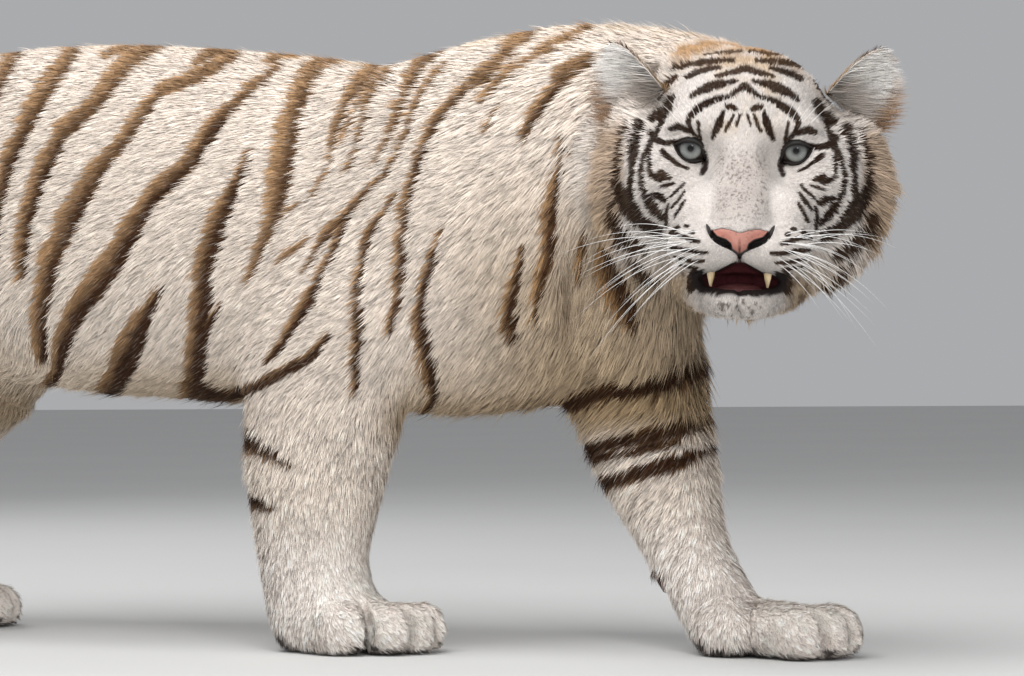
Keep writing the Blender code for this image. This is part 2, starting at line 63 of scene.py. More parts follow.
HEAD = turn("Z", -69.0) @ turn("X", -2.3)
EYE_BACK = -0.013
EYE_SIDE = 0.0585
EYE_UP = 0.0030
EYE_RADIUS = 0.019
LID_THICK = 0.0027
EYES_IN_BODY = np.array((0.522, -0.180, 0.572))
EYES_MIDDLE = (box_centre("eye_left") + box_centre("eye_right")) / 2 - HEAD @ (EYE_BACK, 0, 0)
SHIFT = EYES_MIDDLE - EYES_IN_BODY
# Each toe: place forward and left of the foot's middle, and its size.
LEVEL_TOES = ((0.056, -0.0434, 1.0), (0.078, -0.0155, 1.0), (0.078, 0.0155, 1.0), (0.056, 0.0434, 1.0))
SPREAD_TOES = ((0.015, -0.0508, 1.2), (0.066, -0.0186, 1.0), (0.080, 0.0136, 1.0), (0.068, 0.0446, 1.0))
TOE_SIZE = (0.034, 0.0205)
# Each foot: place, the way it points in degrees, size, toes.
FEET = ((-0.004, -0.110, -16.0, 1.0, SPREAD_TOES), (0.492, -0.030, -9.0, 1.0, LEVEL_TOES),
        (-0.860, -0.115, -5.0, 0.9, LEVEL_TOES), (-0.718, 0.110, 5.0, 0.9, LEVEL_TOES))
# The bare pad behind the left wrist: its middle and half sizes.
CARPAL_PAD = ((0.345, -0.020, 0.083), (0.018, 0.060, 0.017))
TAIL = np.array((
    (-0.780, 0.000, 0.620), (-0.850, 0.000, 0.598), (-0.915, 0.000, 0.530), (-0.955, 0.004, 0.430),
    (-0.985, 0.010, 0.320), (-1.030, 0.018, 0.220), (-1.105, 0.026, 0.160), (-1.190, 0.032, 0.150),
    (-1.265, 0.036, 0.180), (-1.295, 0.037, 0.203)))


def to_head(points):
    """Body points as (forward, left, up) from the middle of the eyes."""
    return (points - EYES_IN_BODY) @ HEAD


def from_head(points):
    return np.asarray(points) @ HEAD.T + EYES_IN_BODY


# ---------------------------------------------------------------- number helpers
def smoothstep(low, high, x):
    t = np.clip((x - low) / (high - low), 0, 1)
    return t * t * (3 - 2 * t)


def unit(v):
    return v / np.maximum(np.linalg.norm(v, axis=-1, keepdims=True), 1e-9)


def lattice(cell, seed):
    """A number from 0 to 1 for each whole place in space."""
    i, j, k = cell.T
    h = (i * 73856093) ^ (j * 19349663) ^ (k * 83492791) ^ (seed * 2654435761 % 2147483647)
    h = (h ^ (h >> 13)) * 1274126177
    h = h & 0x7FFFFFFF
    h = (h ^ (h >> 11)) * 668265263
    return (h & 0xFFFFFF) / float(0xFFFFFF)


def noise(points, size, seed):
    """Smooth noise from -1 to 1 with features of that size."""
    q = points / size
    base = np.floor(q).astype(np.int64)
    part = q - base
    part = part * part * (3 - 2 * part)
    total = 0
    for corner in np.ndindex(2, 2, 2):
        wx, wy, wz = np.where(corner, part, 1 - part).T
        total = total + wx * wy * wz * lattice(base + corner, seed)
    return total * 2 - 1


def mixed(colour, other, share):
    """Between two values for each point, or one for all, by the point's share of the other."""
    return colour + (np.asarray(other) - colour) * share[:, None]


def layered(colour, layers):
    """A colour with layers over it, each a colour and its share from 0 to 1 at each point."""
    colour = np.asarray(colour)
    for other, share in layers:
        colour = mixed(colour, other, share)
    return colour


def faded(a, b, share):
    return a * (1 - share) + b * share


def from_segment(x, y, start, end):
    """The nearest point of a segment, as a share of its length, and how far places lie off it in x and y."""
    step_x, step_y = end[0] - start[0], end[1] - start[1]
    t = np.clip(((x - start[0]) * step_x + (y - start[1]) * step_y) / (step_x * step_x + step_y * step_y), 0, 1)
    return t, x - start[0] - t * step_x, y - start[1] - t * step_y


def along_skin(v, normal):
    """The part of vectors that lies along the skin."""
    return v - normal * (v * normal).sum(axis=1)[:, None]


# ---------------------------------------------------------------- markings
# Each stroke: tone (0 chocolate, 1 golden), then points (x, z, half width) in centimetres on the flank.
FLANK = (
    (0.6, (-33, 73.3, 0.7), (-35.5, 70.6, 1.1), (-40, 65.5, 1.2), (-44, 59, 1.2), (-46, 52, 1), (-46, 46, 0.6)),
    (0.5, (-20.5, 72.6, 0.5), (-23, 71.9, 0.8), (-26, 70.6, 1), (-28.5, 68.6, 1.1), (-31, 66.2, 1),
     (-33, 64.6, 1.1), (-36, 62.6, 1.2), (-39, 58, 1.2), (-41.5, 52, 1.1), (-42, 46, 0.8)),
    (0.6, (-22, 73.1, 0.3), (-26, 72.3, 0.4), (-29.5, 71.2, 0.3)),
    (0.7, (-10, 72, 0.7), (-12, 71.5, 0.8), (-15, 71, 0.7), (-17, 69.9, 0.5)),
    (0.6, (-11.5, 70.6, 0.5), (-14.5, 69.4, 0.8), (-17, 68.5, 0.9), (-19.5, 67.6, 0.8), (-22, 67, 0.7),
     (-23.5, 65.6, 0.8), (-25, 64, 0.8), (-27, 61.8, 0.9), (-29, 60, 0.9), (-31, 58, 1.3), (-33, 55.6, 1.5),
     (-35, 52.6, 1.6), (-38, 47, 1.5), (-39.5, 41, 1.3), (-39.5, 36, 0.9)),
    (0.2, (-6, 69, 0.4), (-8, 67.7, 0.5), (-10, 66.5, 0.6), (-12, 65.1, 0.7), (-14, 63.6, 0.9), (-16, 61.6, 1),
     (-18, 58.8, 1.1), (-20.5, 56.8, 1.1), (-23, 55, 1.1), (-24.5, 53.3, 1.1), (-26, 51.5, 1.3), (-29, 47, 1.6),
     (-32, 43.8, 1.6), (-34.5, 41.2, 1.5), (-36.5, 37, 1.2), (-37.5, 33, 0.8)),
    (0.7, (-2.5, 70.4, 0.5), (-5.5, 70.4, 0.5), (-7.5, 69.6, 0.3)),
    (0, (-22.7, 43.8, 0.5), (-24.5, 41, 1), (-26, 38.5, 1.6), (-27.8, 35, 1.9), (-29.3, 31.8, 1.6),
     (-30, 29, 1)),
    (0.1, (-10.3, 59.2, 0.3), (-11.5, 57, 0.6), (-12.6, 55, 1), (-13.8, 53, 1.2), (-15, 50.5, 1.3),
     (-16, 48, 1.4), (-16.8, 45, 1.4), (-17, 42, 1.5), (-17.4, 38, 1.5), (-18, 34, 1.5), (-17.6, 30.5, 1.3)),
    (0, (-14.6, 41.6, 0.4), (-16, 39.8, 0.8), (-17.3, 37, 0.9)),
    (0, (-18.5, 32.5, 1.3), (-16, 31.2, 1.3), (-13.2, 30.8, 0.9)),
    (0.9, (3.5, 69.9, 0.5), (0, 69.2, 0.9), (-2.3, 67.6, 1.2), (-3.9, 65, 1.3), (-4.8, 62.5, 1.4),
     (-5.4, 60, 1.6), (-6, 57.5, 1.6), (-6.5, 55, 1.5), (-7.1, 52, 1.2), (-8, 50, 0.9), (-9, 48, 0.8),
     (-10, 46, 0.6), (-10.6, 44.6, 0.3)),
    (0.9, (7.2, 68.7, 0.6), (4.6, 66.6, 0.8), (3, 65, 0.6), (2, 63, 0.45), (1.2, 61, 0.35), (0.5, 58.6, 0.3),
     (-0.6, 56, 0.25), (-2.4, 53.6, 0.2)),
    (0.6, (8.6, 68.2, 0.3), (6, 66, 0.35), (4, 64, 0.3), (3, 62.3, 0.3), (2.2, 60.3, 0.2)),
    (0.6, (9.7, 69, 0.3), (7, 66.5, 0.35), (5.5, 64.5, 0.35), (4.8, 62.5, 0.35), (4.2, 60.5, 0.3),
     (3.5, 58.5, 0.25), (2.8, 57, 0.2)),
    (0.4, (16.5, 71.3, 0.8), (14.5, 69.9, 0.9), (13, 69, 0.8), (11.6, 67.2, 0.75), (10.2, 65, 0.6),
     (9.4, 63, 0.6), (8.5, 61.3, 0.45), (7.5, 59.6, 0.35), (6.2, 57.7, 0.25)),
    (0.3, (16, 68.6, 0.3), (14.2, 66.9, 0.4), (12.6, 65.2, 0.4), (11.4, 63.2, 0.4), (10.5, 61, 0.4),
     (9.3, 58.7, 0.35), (7.9, 56.8, 0.35), (6.4, 55.3, 0.35), (5, 54.2, 0.4), (3.4, 52.7, 0.5),
     (1.8, 51.3, 0.55), (0.2, 49.9, 0.45), (-1.2, 48.4, 0.45), (-2, 46.9, 0.4), (-3.3, 45.2, 0.3)),
    (0.1, (2.2, 50.9, 0.5), (1.3, 48.9, 0.45), (0.2, 47, 0.45), (-0.8, 45.3, 0.55), (-1.7, 43.5, 0.6),
     (-2.7, 41.8, 0.75), (-3.9, 40.2, 0.7), (-5, 38.6, 0.6), (-6.2, 37, 0.55), (-7.6, 35.5, 0.4),
     (-8.6, 34.7, 0.2)),
    (0.2, (20, 67.2, 0.5), (19, 66.3, 0.6), (17.5, 65, 0.6), (16, 63.7, 0.5), (14.5, 62.2, 0.5),
     (13.2, 60.4, 0.6), (12.1, 58.3, 0.6), (11.1, 55.7, 0.6), (10.5, 53.4, 0.6), (10.1, 51, 0.6),
     (9.8, 49, 0.65), (9.5, 46, 0.75), (9.3, 44, 0.75), (8.9, 42, 0.6), (8.4, 40.2, 0.45), (7.9, 38.4, 0.3)),
    (0.1, (8.9, 53.9, 0.25), (7.9, 52.5, 0.35), (6.8, 51.3, 0.4), (5.7, 49.9, 0.45), (5, 48.2, 0.5),
     (4.4, 46.3, 0.5), (4, 44.3, 0.5), (3.7, 42.1, 0.6), (3.8, 40, 0.7), (3.7, 37.1, 0.7), (3.3, 35, 0.6),
     (3.4, 33.2, 0.5), (3.3, 31.4, 0.3)),
    (0, (14.7, 49.6, 0.3), (13.8, 47.3, 0.5), (13, 45.1, 0.6), (12.2, 42.8, 0.6), (11.8, 40.6, 0.8),
     (12, 38.2, 1), (12.6, 35.8, 1), (13.2, 33.6, 0.9), (13.6, 31.4, 0.7), (12.9, 29.2, 0.5)),
    (0, (-14, 31.2, 0.8), (-10.5, 31.8, 0.65), (-7.5, 32.9, 0.6), (-5, 34.1, 0.6), (-3, 35, 0.55),
     (-1.5, 36.3, 0.45), (-0.1, 37.8, 0.25)),
    (0.7, (29.4, 73.5, 0.6), (28.4, 72.7, 0.8), (27.1, 71.4, 0.7), (25, 70.3, 0.8), (23.2, 68.9, 0.7),
     (21, 67.3, 0.8), (19.6, 66.2, 0.6)),
    (0.8, (34.5, 71.5, 0.4), (31.4, 70.6, 0.4), (29.3, 69.6, 0.5), (27.1, 68.6, 0.4), (25, 67.8, 0.4),
     (23.2, 66.8, 0.4), (21.8, 65.7, 0.4), (20.4, 64.3, 0.3)),
    (0.1, (34.2, 68.1, 0.8), (31.3, 66.9, 0.95), (29.6, 65.4, 0.85), (28.2, 63.9, 0.8), (26.8, 62.1, 0.6),
     (25.5, 60.2, 0.4)),
    (0.5, (22.4, 63.6, 0.2), (21.5, 62, 0.25), (20.4, 60.5, 0.2)),
    (0.3, (35.2, 63, 0.4), (34.3, 61.6, 0.5), (33, 59.8, 0.4), (31.4, 58, 0.25)),
    (0.1, (30.4, 60, 0.25), (30, 57.1, 0.35), (29.3, 54.3, 0.55), (28.6, 51.8, 0.75), (28.4, 49.3, 0.85),
     (28, 46.4, 0.75), (27.5, 44.3, 0.55), (27, 41.8, 0.4), (26.7, 40, 0.25)),
    (0, (25.1, 48, 0.3), (24.6, 45.7, 0.55), (23.9, 43.2, 0.75), (23.2, 41.1, 0.9), (23.2, 38.9, 1),
     (23.9, 36.8, 1), (24.6, 35, 0.9), (25.1, 34, 0.5)),
    (0, (35.2, 47.5, 0.8), (35.6, 45.5, 1.3), (36.6, 43, 1.5), (37.6, 41, 1.3), (38.6, 39.2, 0.8)),
    (0.2, (32.6, 49.3, 0.3), (32.3, 46.8, 0.35), (31.9, 44.3, 0.3)),
    (0.7, (-2.4, 49.3, 0.2), (-4.5, 47.8, 0.3), (-7.2, 46.1, 0.25)),
    (0.8, (-3.6, 53.2, 0.15), (-5.6, 52.2, 0.2)),
    # right foreleg
    (0, (-14.2, 26.8, 1.56), (-12.2, 26.1, 1.3), (-10.4, 25, 0.91), (-8.8, 24.1, 0.65), (-7.2, 23.3, 0.52),
     (-5.6, 22.7, 0.26)),
    (0, (-12.4, 25, 0.52), (-11.5, 23.6, 0.33)),
    (0, (-13.6, 20.3, 1.04), (-11.8, 19.1, 0.91), (-10.4, 18.2, 0.78), (-9, 17.6, 0.52), (-8, 17.5, 0.26)),
    # haunch and hind legs
    (0.5, (-41, 73.8, 0.8), (-45, 69, 1.2), (-48.5, 62, 1.3), (-50, 55, 1.3), (-49.5, 48, 1), (-47, 42, 0.6)),
    (0.4, (-48, 74, 0.8), (-52.5, 69, 1.2), (-56, 62, 1.4), (-57, 55, 1.3), (-55.5, 48, 1.1), (-52, 42, 0.8)),
    (0.3, (-55, 73.5, 0.8), (-60, 68, 1.2), (-63, 61, 1.3), (-63.5, 54, 1.3), (-61.5, 47, 1.2),
     (-57.5, 41, 0.9), (-53, 36.5, 0.6)),
    (0.3, (-62, 73, 0.7), (-67, 67, 1.1), (-69.5, 60, 1.3), (-69.5, 53, 1.3), (-67, 46, 1.1), (-62.5, 40, 0.9),
     (-58, 35.5, 0.5)),
    (0.2, (-69, 71, 0.7), (-73, 65, 1.1), (-75, 58, 1.2), (-74.5, 51, 1.2), (-72, 44, 1.1), (-68, 38.5, 0.9),
     (-63, 34, 0.5)),
    (0.2, (-75, 69, 0.6), (-78.5, 63, 1), (-80, 57, 1.1), (-80, 50, 1), (-78, 43, 0.9), (-74, 37.5, 0.6)),
    (0.1, (-83, 37, 0.5), (-79, 33.5, 0.9), (-73, 31, 0.9), (-67, 30.5, 0.6)),
    (0.1, (-88, 31, 0.5), (-84, 27.5, 0.8), (-78, 25.5, 0.8), (-73, 25.6, 0.5)),
    (0.1, (-97, 20, 0.5), (-92, 18.5, 0.7), (-86, 19.5, 0.7), (-79, 20.5, 0.6), (-74, 20.8, 0.3)),
    (0.1, (-97, 13.6, 0.4), (-92, 12.8, 0.5), (-88, 13.2, 0.3)),
)
# The left foreleg's bands, in its own upright plane.
FAR_LEG = (
    (0, (22.5, 29.6, 1), (24.8, 30.2, 1.12), (28, 31.1, 1), (32, 31.6, 1.06), (35.5, 32.4, 1.25),
     (38.5, 33, 0.94), (41, 33.6, 0.62), (44, 34.5, 0.5), (47, 35.2, 0.38)),
    (0.1, (22, 23.6, 1), (25.6, 23.9, 0.94), (29.1, 24.5, 0.81), (32, 24.9, 0.75), (34.9, 25.6, 0.94),
     (37.7, 26.1, 0.75), (39.9, 27, 0.5), (42.4, 28.1, 0.38)),
    (0.1, (26, 23, 0.62), (29.1, 23.2, 0.5), (32, 23.5, 0.5), (34.9, 24.2, 0.5), (37.7, 24.6, 0.38)),
    (0, (25, 19, 0.75), (28.1, 19.9, 0.94), (30.6, 20.6, 0.69), (33.4, 21.3, 0.75), (36.3, 22, 1.06),
     (38.1, 22.4, 0.88), (40.6, 23.3, 0.44), (43, 24.2, 0.31)),
)
# The face: (outward from the middle, up from the eyes, half width) in centimetres.
FACE = (
    (0, (7, 0.8, 0.3), (8.4, 0.62, 0.34), (9.3, 0.9, 0.36), (9.9, 1.6, 0.36)),
    (0, (7.8, 5.6, 0.3), (8.5, 4.2, 0.35), (9, 2.8, 0.3), (9.5, 1.65, 0.3), (10, 0.8, 0.28), (10.4, -0.1, 0.25),
     (10.8, -1.2, 0.22), (10.95, -2.7, 0.2), (10.8, -4, 0.25), (10.4, -5.2, 0.3), (9.9, -6.1, 0.4),
     (9.3, -6.8, 0.35), (8.6, -7.5, 0.3)),
    (0.1, (8.2, 4.4, 0.35), (9.2, 3.7, 0.6), (9.9, 3.2, 0.4)),
    (0.1, (8, 5.4, 0.4), (8.5, 4.8, 0.3)),
    (0.3, (7.6, 7.9, 0.35), (8.4, 7.2, 0.45), (9.1, 6.3, 0.5), (9.3, 5.6, 0.3)),
    (0, (10.1, -0.2, 0.15), (10.15, -1.4, 0.2), (10, -2.5, 0.2), (9.6, -3, 0.25), (8.9, -3.2, 0.4),
     (8.2, -3.1, 0.2)),
    (0.1, (8.9, -2.6, 0.3), (8.4, -2.9, 0.35), (7.8, -3.2, 0.15)),
    (0, (8.8, -0.2, 0.25), (8.2, -0.8, 0.3), (7.7, -1.2, 0.2), (6.9, -1.75, 0.16), (6, -2.05, 0.12)),
    (0, (9.9, -4.9, 0.2), (9, -5.1, 0.4), (8.4, -5.5, 0.35)),
    (0.1, (9.9, -5.6, 0.35), (9.5, -6.4, 0.5), (8.9, -6.9, 0.3)),
    (0, (8.8, -4.1, 0.15), (8.1, -3.9, 0.18), (7.4, -3.75, 0.1)),
    (0, (6.3, -3.7, 0.1), (7, -4.5, 0.14), (7.8, -5.2, 0.14)),
    (0, (6.2, -4.6, 0.1), (6.9, -5.6, 0.14), (7.6, -6.4, 0.14)),
    (0, (6.2, -5.6, 0.1), (6.8, -6.6, 0.13), (7.3, -7.5, 0.12)),
    (0, (7.9, -6, 0.15), (8.15, -7.2, 0.22), (8.1, -8.3, 0.2)),
    # the two long stripes of the cheek and the dark crescent of the ruff
    (0, (11.1, 2.6, 0.5), (11.4, 1.4, 0.5), (11.7, 0, 0.42), (11.85, -1.4, 0.34), (12, -2.7, 0.3),
     (12.1, -4, 0.3), (12, -5.4, 0.4), (11.4, -6.6, 0.4)),
    (0.1, (12.6, 2.4, 0.15), (13, 0.9, 0.25), (13.3, -0.5, 0.25), (13.4, -2, 0.22), (13.3, -3.6, 0.35),
     (12.8, -5, 0.5), (12, -6.4, 0.6), (10.9, -7.6, 0.6), (9.7, -8.4, 0.5), (8.5, -9, 0.4)),
    (0.1, (13.9, -6, 0.2), (13.4, -7.6, 0.4), (12.4, -9, 0.55), (11.2, -10.1, 0.5), (10, -10.8, 0.3)),
    (0.2, (11.6, -11, 0.2), (10.6, -12.4, 0.4), (9.4, -13.4, 0.4), (8.2, -14, 0.25)),
    (0, (14.9, -10.8, 0.6), (14.5, -12.4, 1.2), (13.6, -14.4, 1.4), (12.7, -16.4, 1.2), (11.6, -18.2, 0.7)),
    (0, (13.6, -13, 0.6), (12.2, -13.7, 0.6), (11.3, -14.6, 0.4)),
    (0.3, (8.4, -16.6, 0.3), (7.2, -17.3, 0.5), (6, -17.1, 0.35)),
    # forehead arcs
    (0.5, (4.4, 10.4, 0.12), (2.6, 10.7, 0.15), (0.4, 10.9, 0.15)),
    (0.2, (7.9, 8.8, 0.2), (6.2, 9.3, 0.28), (4.8, 9.6, 0.3), (3, 9.8, 0.28), (1.3, 9.9, 0.2)),
    (0.1, (6.3, 7.9, 0.2), (5.2, 8.5, 0.28), (3.9, 8.9, 0.3), (2.8, 9.1, 0.2)),
    (0.2, (3.1, 8.1, 0.2), (2, 8.4, 0.28), (0.9, 8.7, 0.32), (0, 9, 0.35)),
    (0, (5.8, 5.8, 0.2), (4.9, 6.4, 0.38), (3.9, 6.85, 0.5), (2.8, 7.2, 0.45), (1.8, 7.4, 0.3),
     (0.9, 7.6, 0.2)),
    (0.1, (1.3, 6.2, 0.25), (0.5, 6.7, 0.38), (0, 7.1, 0.4)),
    (0, (5, 1.4, 0.13), (5.7, 2.1, 0.18), (6.1, 3, 0.26), (5.85, 3.7, 0.36), (5.2, 4.35, 0.42),
     (4.3, 4.95, 0.44), (3.3, 5.5, 0.36), (2.2, 5.8, 0.26), (1.1, 5.95, 0.16)),
    (0, (2.3, 4.1, 0.26), (2.6, 3.2, 0.43), (2.9, 2.3, 0.39), (3.35, 1.3, 0.21)),
    (0.2, (1.1, 3.9, 0.16), (1.5, 3, 0.21), (2, 2.1, 0.13)),
    (0.2, (1.9, 4.8, 0.26), (1.3, 4.7, 0.39), (0.8, 4.5, 0.2)),
    (0.2, (0.4, 3.9, 0.16), (0.8, 2.7, 0.13)),
    (0, (7.9, 2.2, 0.26), (7.2, 2.45, 0.34), (6.3, 2.2, 0.26), (5.4, 1.65, 0.16)),
    (0.1, (5, 3.1, 0.13), (4.8, 2, 0.17), (4.6, 1, 0.16)),
    # whisker rows
    (0, (7.3, -8.9, 0.22), (6.9, -8.6, 0.3)),
    (0, (6, -8.4, 0.21), (5.8, -8.45, 0.21)),
    (0, (5.3, -9.1, 0.2), (5.15, -9.15, 0.18)),
    (0, (7.6, -9.2, 0.21), (6.8, -9.4, 0.26), (5.9, -9.7, 0.24), (5.2, -10, 0.26), (4.5, -10.1, 0.15)),
    (0, (7.5, -10.8, 0.2), (6.6, -10.95, 0.26), (5.4, -11.1, 0.27), (4.4, -11.3, 0.22), (3.5, -11.2, 0.15)),
    (0.2, (7.2, -11.8, 0.12), (6.1, -12.1, 0.18), (4.9, -12.3, 0.18), (3.9, -12.2, 0.12)),
    (0.2, (6.6, -12.7, 0.09), (5.6, -12.9, 0.15), (4.6, -13, 0.12)),
    (0.1, (4.9, -13.2, 0.3), (5.3, -14.2, 0.4), (5.2, -15.2, 0.35)),
)

# The point in front of the face from which its marks spread over it: forward, left, up.
FACE_CHART = (4.177, 0.041, -0.201)
WHITE = (0.840, 0.738, 0.642)
CREAM = (0.710, 0.575, 0.430)
BEIGE = (0.410, 0.295, 0.172)
GOLD = (0.420, 0.240, 0.108)
CHOCOLATE = (0.056, 0.025, 0.012)
NEAR_BLACK = (0.011, 0.006, 0.0045)
FACE_WHITE = (0.705, 0.648, 0.605)
BRIDGE_GREY = (0.480, 0.425, 0.390)
LIP_BLACK = (0.018, 0.013, 0.012)
MOUTH_RED = (0.135, 0.034, 0.038)
TEAR_BROWN = (0.014, 0.005, 0.004)
PAW_WHITE = (0.95, 0.860, 0.790)
RIDGE_TAN = (0.64, 0.49, 0.31)
CLAW_BROWN_AND_CLEFT_SHADE = (0.10, 0.075, 0.062)
SOLE_BLACK = (0.030, 0.021, 0.018)
PAD_BROWN = (0.080, 0.036, 0.028)
# How soft a stroke's edge is, and how much wider it is made than it was read, in metres.
BODY_EDGE = (0.0022, 0.0010)
FACE_EDGE = (0.0009, 0.0005)
# The dark line down from the inner corner of each eye: (outward, up from the eyes).
TEAR_LINE = ((0.0445, -0.0050), (0.0425, -0.0110), (0.0420, -0.0180), (0.0445, -0.0240))
TAIL_RING = 0.066


def strokes_over(a, b, strokes, wobble, feather, thicker):
    """How far the strokes cover each chart point, from 0 to 1, their tone there, how deep it is in one,
    and how far it lies to the front of the stroke's middle, from -1 to 1."""
    cover, tone, ahead = np.zeros((3, len(a)))
    deep = np.full(len(a), -1.0)
    for stroke in strokes:
        line = np.array(stroke[1:]) * CM
        line[:, 2] += thicker
        reach = line[:, 2].max() + 3 * feather
        low, high = line.min(axis=0) - reach, line.max(axis=0) + reach
        near = np.flatnonzero((a > low[0]) & (a < high[0]) & (b > low[1]) & (b < high[1]))
        if not len(near):
            continue
        best = np.full(len(near), -1.0)
        beside = np.zeros(len(near))
        for start, end in zip(line[:-1], line[1:]):
            t, off_a, off_b = from_segment(a[near], b[near], start, end)
            half = start[2] + t * (end[2] - start[2])
            inward = half - np.hypot(off_a, off_b)
            closer = inward > best
            beside[closer] = (off_a / half)[closer]
            best = np.maximum(best, inward)
        best = best + wobble[near]
        more = best > deep[near]
        chosen = near[more]
        cover[chosen] = smoothstep(-feather, feather, best)[more]
        tone[chosen] = stroke[0]
        deep[chosen] = best[more]
        ahead[chosen] = beside[more]
    return cover, tone, deep, ahead


def line_gap(x, y, line):
    """The distance of places from a line of points."""
    gaps = [np.hypot(*from_segment(x, y, start, end)[1:]) for start, end in zip(line[:-1], line[1:])]
    return np.min(gaps, axis=0)


def along_tail(p):
    """Distance from the tail's line, length along it from its root, and the line's way there."""
    best = np.full(len(p), np.inf)
    at = np.zeros(len(p))
    done = 0.0
    way = np.zeros((len(p), 3))
    for start, end in zip(TAIL[:-1], TAIL[1:]):
        step = end - start
        length = np.linalg.norm(step)
        t = np.clip((p - start) @ step / length ** 2, 0, 1)
        gap = np.linalg.norm(p - start - t[:, None] * step, axis=1)
        closer = gap < best
        best[closer] = gap[closer]
        at[closer] = (done + t * length)[closer]
        way[closer] = step / length
        done += length
    return best, at, way


def head_share(p, reach=0.045):
    """1 on the head, 0 on the body, with a soft border behind the ruff."""
    h = to_head(p)
    share = smoothstep(-0.190, -0.140, h[:, 0] + 0.25 * np.abs(h[:, 1]))
    near = np.flatnonzero((share > 0) & (np.abs(h[:, 1]) < 0.24) & (np.abs(h[:, 2]) < 0.27))
    result = np.zeros(len(p))
    result[near] = share[near] * smoothstep(reach, 0.5 * reach, head_distance(h[near]))
    return result


def body_ground(p, fine, middle, broad):
    """The colour of the body's coat between its markings: creamier on the underside and the breast."""
    x, y, z = p.T
    belly = smoothstep(0.16, 0.10, np.abs(y)) * smoothstep(0.24, 0.28, z)
    low = smoothstep(0.42, 0.31, z + 0.02 * broad) * belly
    breast = smoothstep(0.10, 0.27, x) * smoothstep(0.60, 0.42, z + 0.03 * broad) * smoothstep(0.26, 0.33, z)
    ridge = smoothstep(0.075, 0.0, np.abs(y)) * smoothstep(0.64, 0.70, z)
    return layered(WHITE, (
        (CREAM, 0.75 * low),
        (BEIGE, np.clip(0.70 * low * smoothstep(0.33, 0.29, z) + 0.78 * breast, 0, 1)),
        (PAW_WHITE, smoothstep(0.20, 0.08, z)),
        (RIDGE_TAN, 0.5 * ridge * smoothstep(-0.5, 0.5, middle + 0.3 * fine))))


def body_marks(p, fine, middle):
    """The markings at body points: cover, tone, depth, how far to the front, and share of the left foreleg."""
    x, y, z = p.T
    wobble = 0.0018 * middle + 0.0010 * fine
    # the flank's chart slants forward over the round of the body, and is warped on the left side
    left = smoothstep(0.0, 0.07, y)
    inset = 0.17 - np.abs(y)
    chart_x = x + (0.5256 - 0.2565 * x) * inset + left * (0.016 * noise(p, 0.16, 21) + 0.013) + 0.0025 * middle
    chart_z = z + (0.0947 - 0.2565 * z) * inset + left * 0.014 * noise(p, 0.14, 22)
    cover, tone, deep, ahead = strokes_over(chart_x, chart_z, FLANK, wobble, *BODY_EDGE)
    fore = smoothstep(0.17, 0.20, x) * smoothstep(0.385, 0.355, z)
    leg_cover, leg_tone, leg_deep, _ = strokes_over(x + 0.42 * (y + 0.03), z, FAR_LEG, wobble, *BODY_EDGE)
    cover = faded(cover, leg_cover, fore)
    deep = np.where(fore > 0.5, leg_deep, deep)
    tone = np.where(fore > 0.5, leg_tone, tone)
    gap, at, _ = along_tail(p)
    tail = smoothstep(0.075, 0.055, gap) * smoothstep(0.02, 0.07, at)
    ring = np.abs((at + 0.004 * middle) / TAIL_RING % 1 - 0.5)
    ring = smoothstep(0.20, 0.27, ring + 0.03 * fine + 0.06 * smoothstep(0.1, 0.6, at))
    ring = np.maximum(ring, smoothstep(0.815, 0.835, at))
    return faded(cover, ring, tail), faded(tone, 0.1, tail), deep + (0.01 - deep) * tail, ahead, fore


def face_ground(p, h, fine, middle):
    """The colour of the head's coat between its markings."""
    forward, side, up = h.T
    out = np.abs(side)
    crown = smoothstep(0.084, 0.122, up + 0.006 * middle) * smoothstep(0.02, -0.06, forward)
    brow = smoothstep(0.050, 0.020, out) * smoothstep(0.004, 0.035, up) * smoothstep(-0.09, -0.05, forward)
    halo = smoothstep(0.124, 0.136, out) * smoothstep(0.172, 0.156, out) * smoothstep(-0.125, -0.085, up)
    throat = smoothstep(-0.085, -0.16, up) * smoothstep(0.045, -0.02, forward)
    # The jaw's sides below the mouth's corners are coloured like the throat: partly the ruff's brown fur,
    # partly painted shade under the jaw.
    throat = np.maximum(throat, smoothstep(-0.120, -0.145, up) * smoothstep(0.046, 0.064, out + 0.004 * middle))
    ruff = smoothstep(0.12, 0.16, out) * smoothstep(-0.02, -0.09, up)
    bridge = smoothstep(0.036, 0.020, out) * smoothstep(0.012, -0.012, up) * smoothstep(-0.1, -0.06, up)
    inner = smoothstep(0.014, 0.0, np.hypot(out - 0.040, (up + 0.026) * 0.6))
    chin = smoothstep(0.034, 0.012, np.hypot(out * 0.8, up + 0.172))
    chin = chin * smoothstep(0.15, 0.50, noise(p, 0.0040, 42))
    return layered(FACE_WHITE, (
        (WHITE, 0.6 * smoothstep(-0.05, -0.11, forward)),
        ((0.42, 0.235, 0.095), 0.90 * crown * smoothstep(-1.1, 0.4, middle + 0.4 * fine)),
        ((0.56, 0.42, 0.28), 0.70 * brow * smoothstep(-0.8, 0.5, middle + 0.4 * fine)),
        ((0.37, 0.24, 0.135), 0.75 * (halo * smoothstep(0.045, 0.015, up))),
        (BEIGE, 0.85 * throat),
        ((0.075, 0.040, 0.022), 0.8 * throat * smoothstep(0.10, 0.55, middle + 0.5 * fine)),
        (BEIGE, 0.45 * ruff * (1 - throat)),
        (BRIDGE_GREY, bridge * (0.50 + 0.35 * smoothstep(-0.3, 0.6, middle))),
        ((0.150, 0.118, 0.105), 0.80 * bridge * smoothstep(0.10, 0.60, noise(p, 0.0018, 41))),
        ((0.50, 0.47, 0.45), 0.55 * inner),
        ((0.085, 0.060, 0.050), 0.75 * chin * smoothstep(0.0, 0.04, forward))))


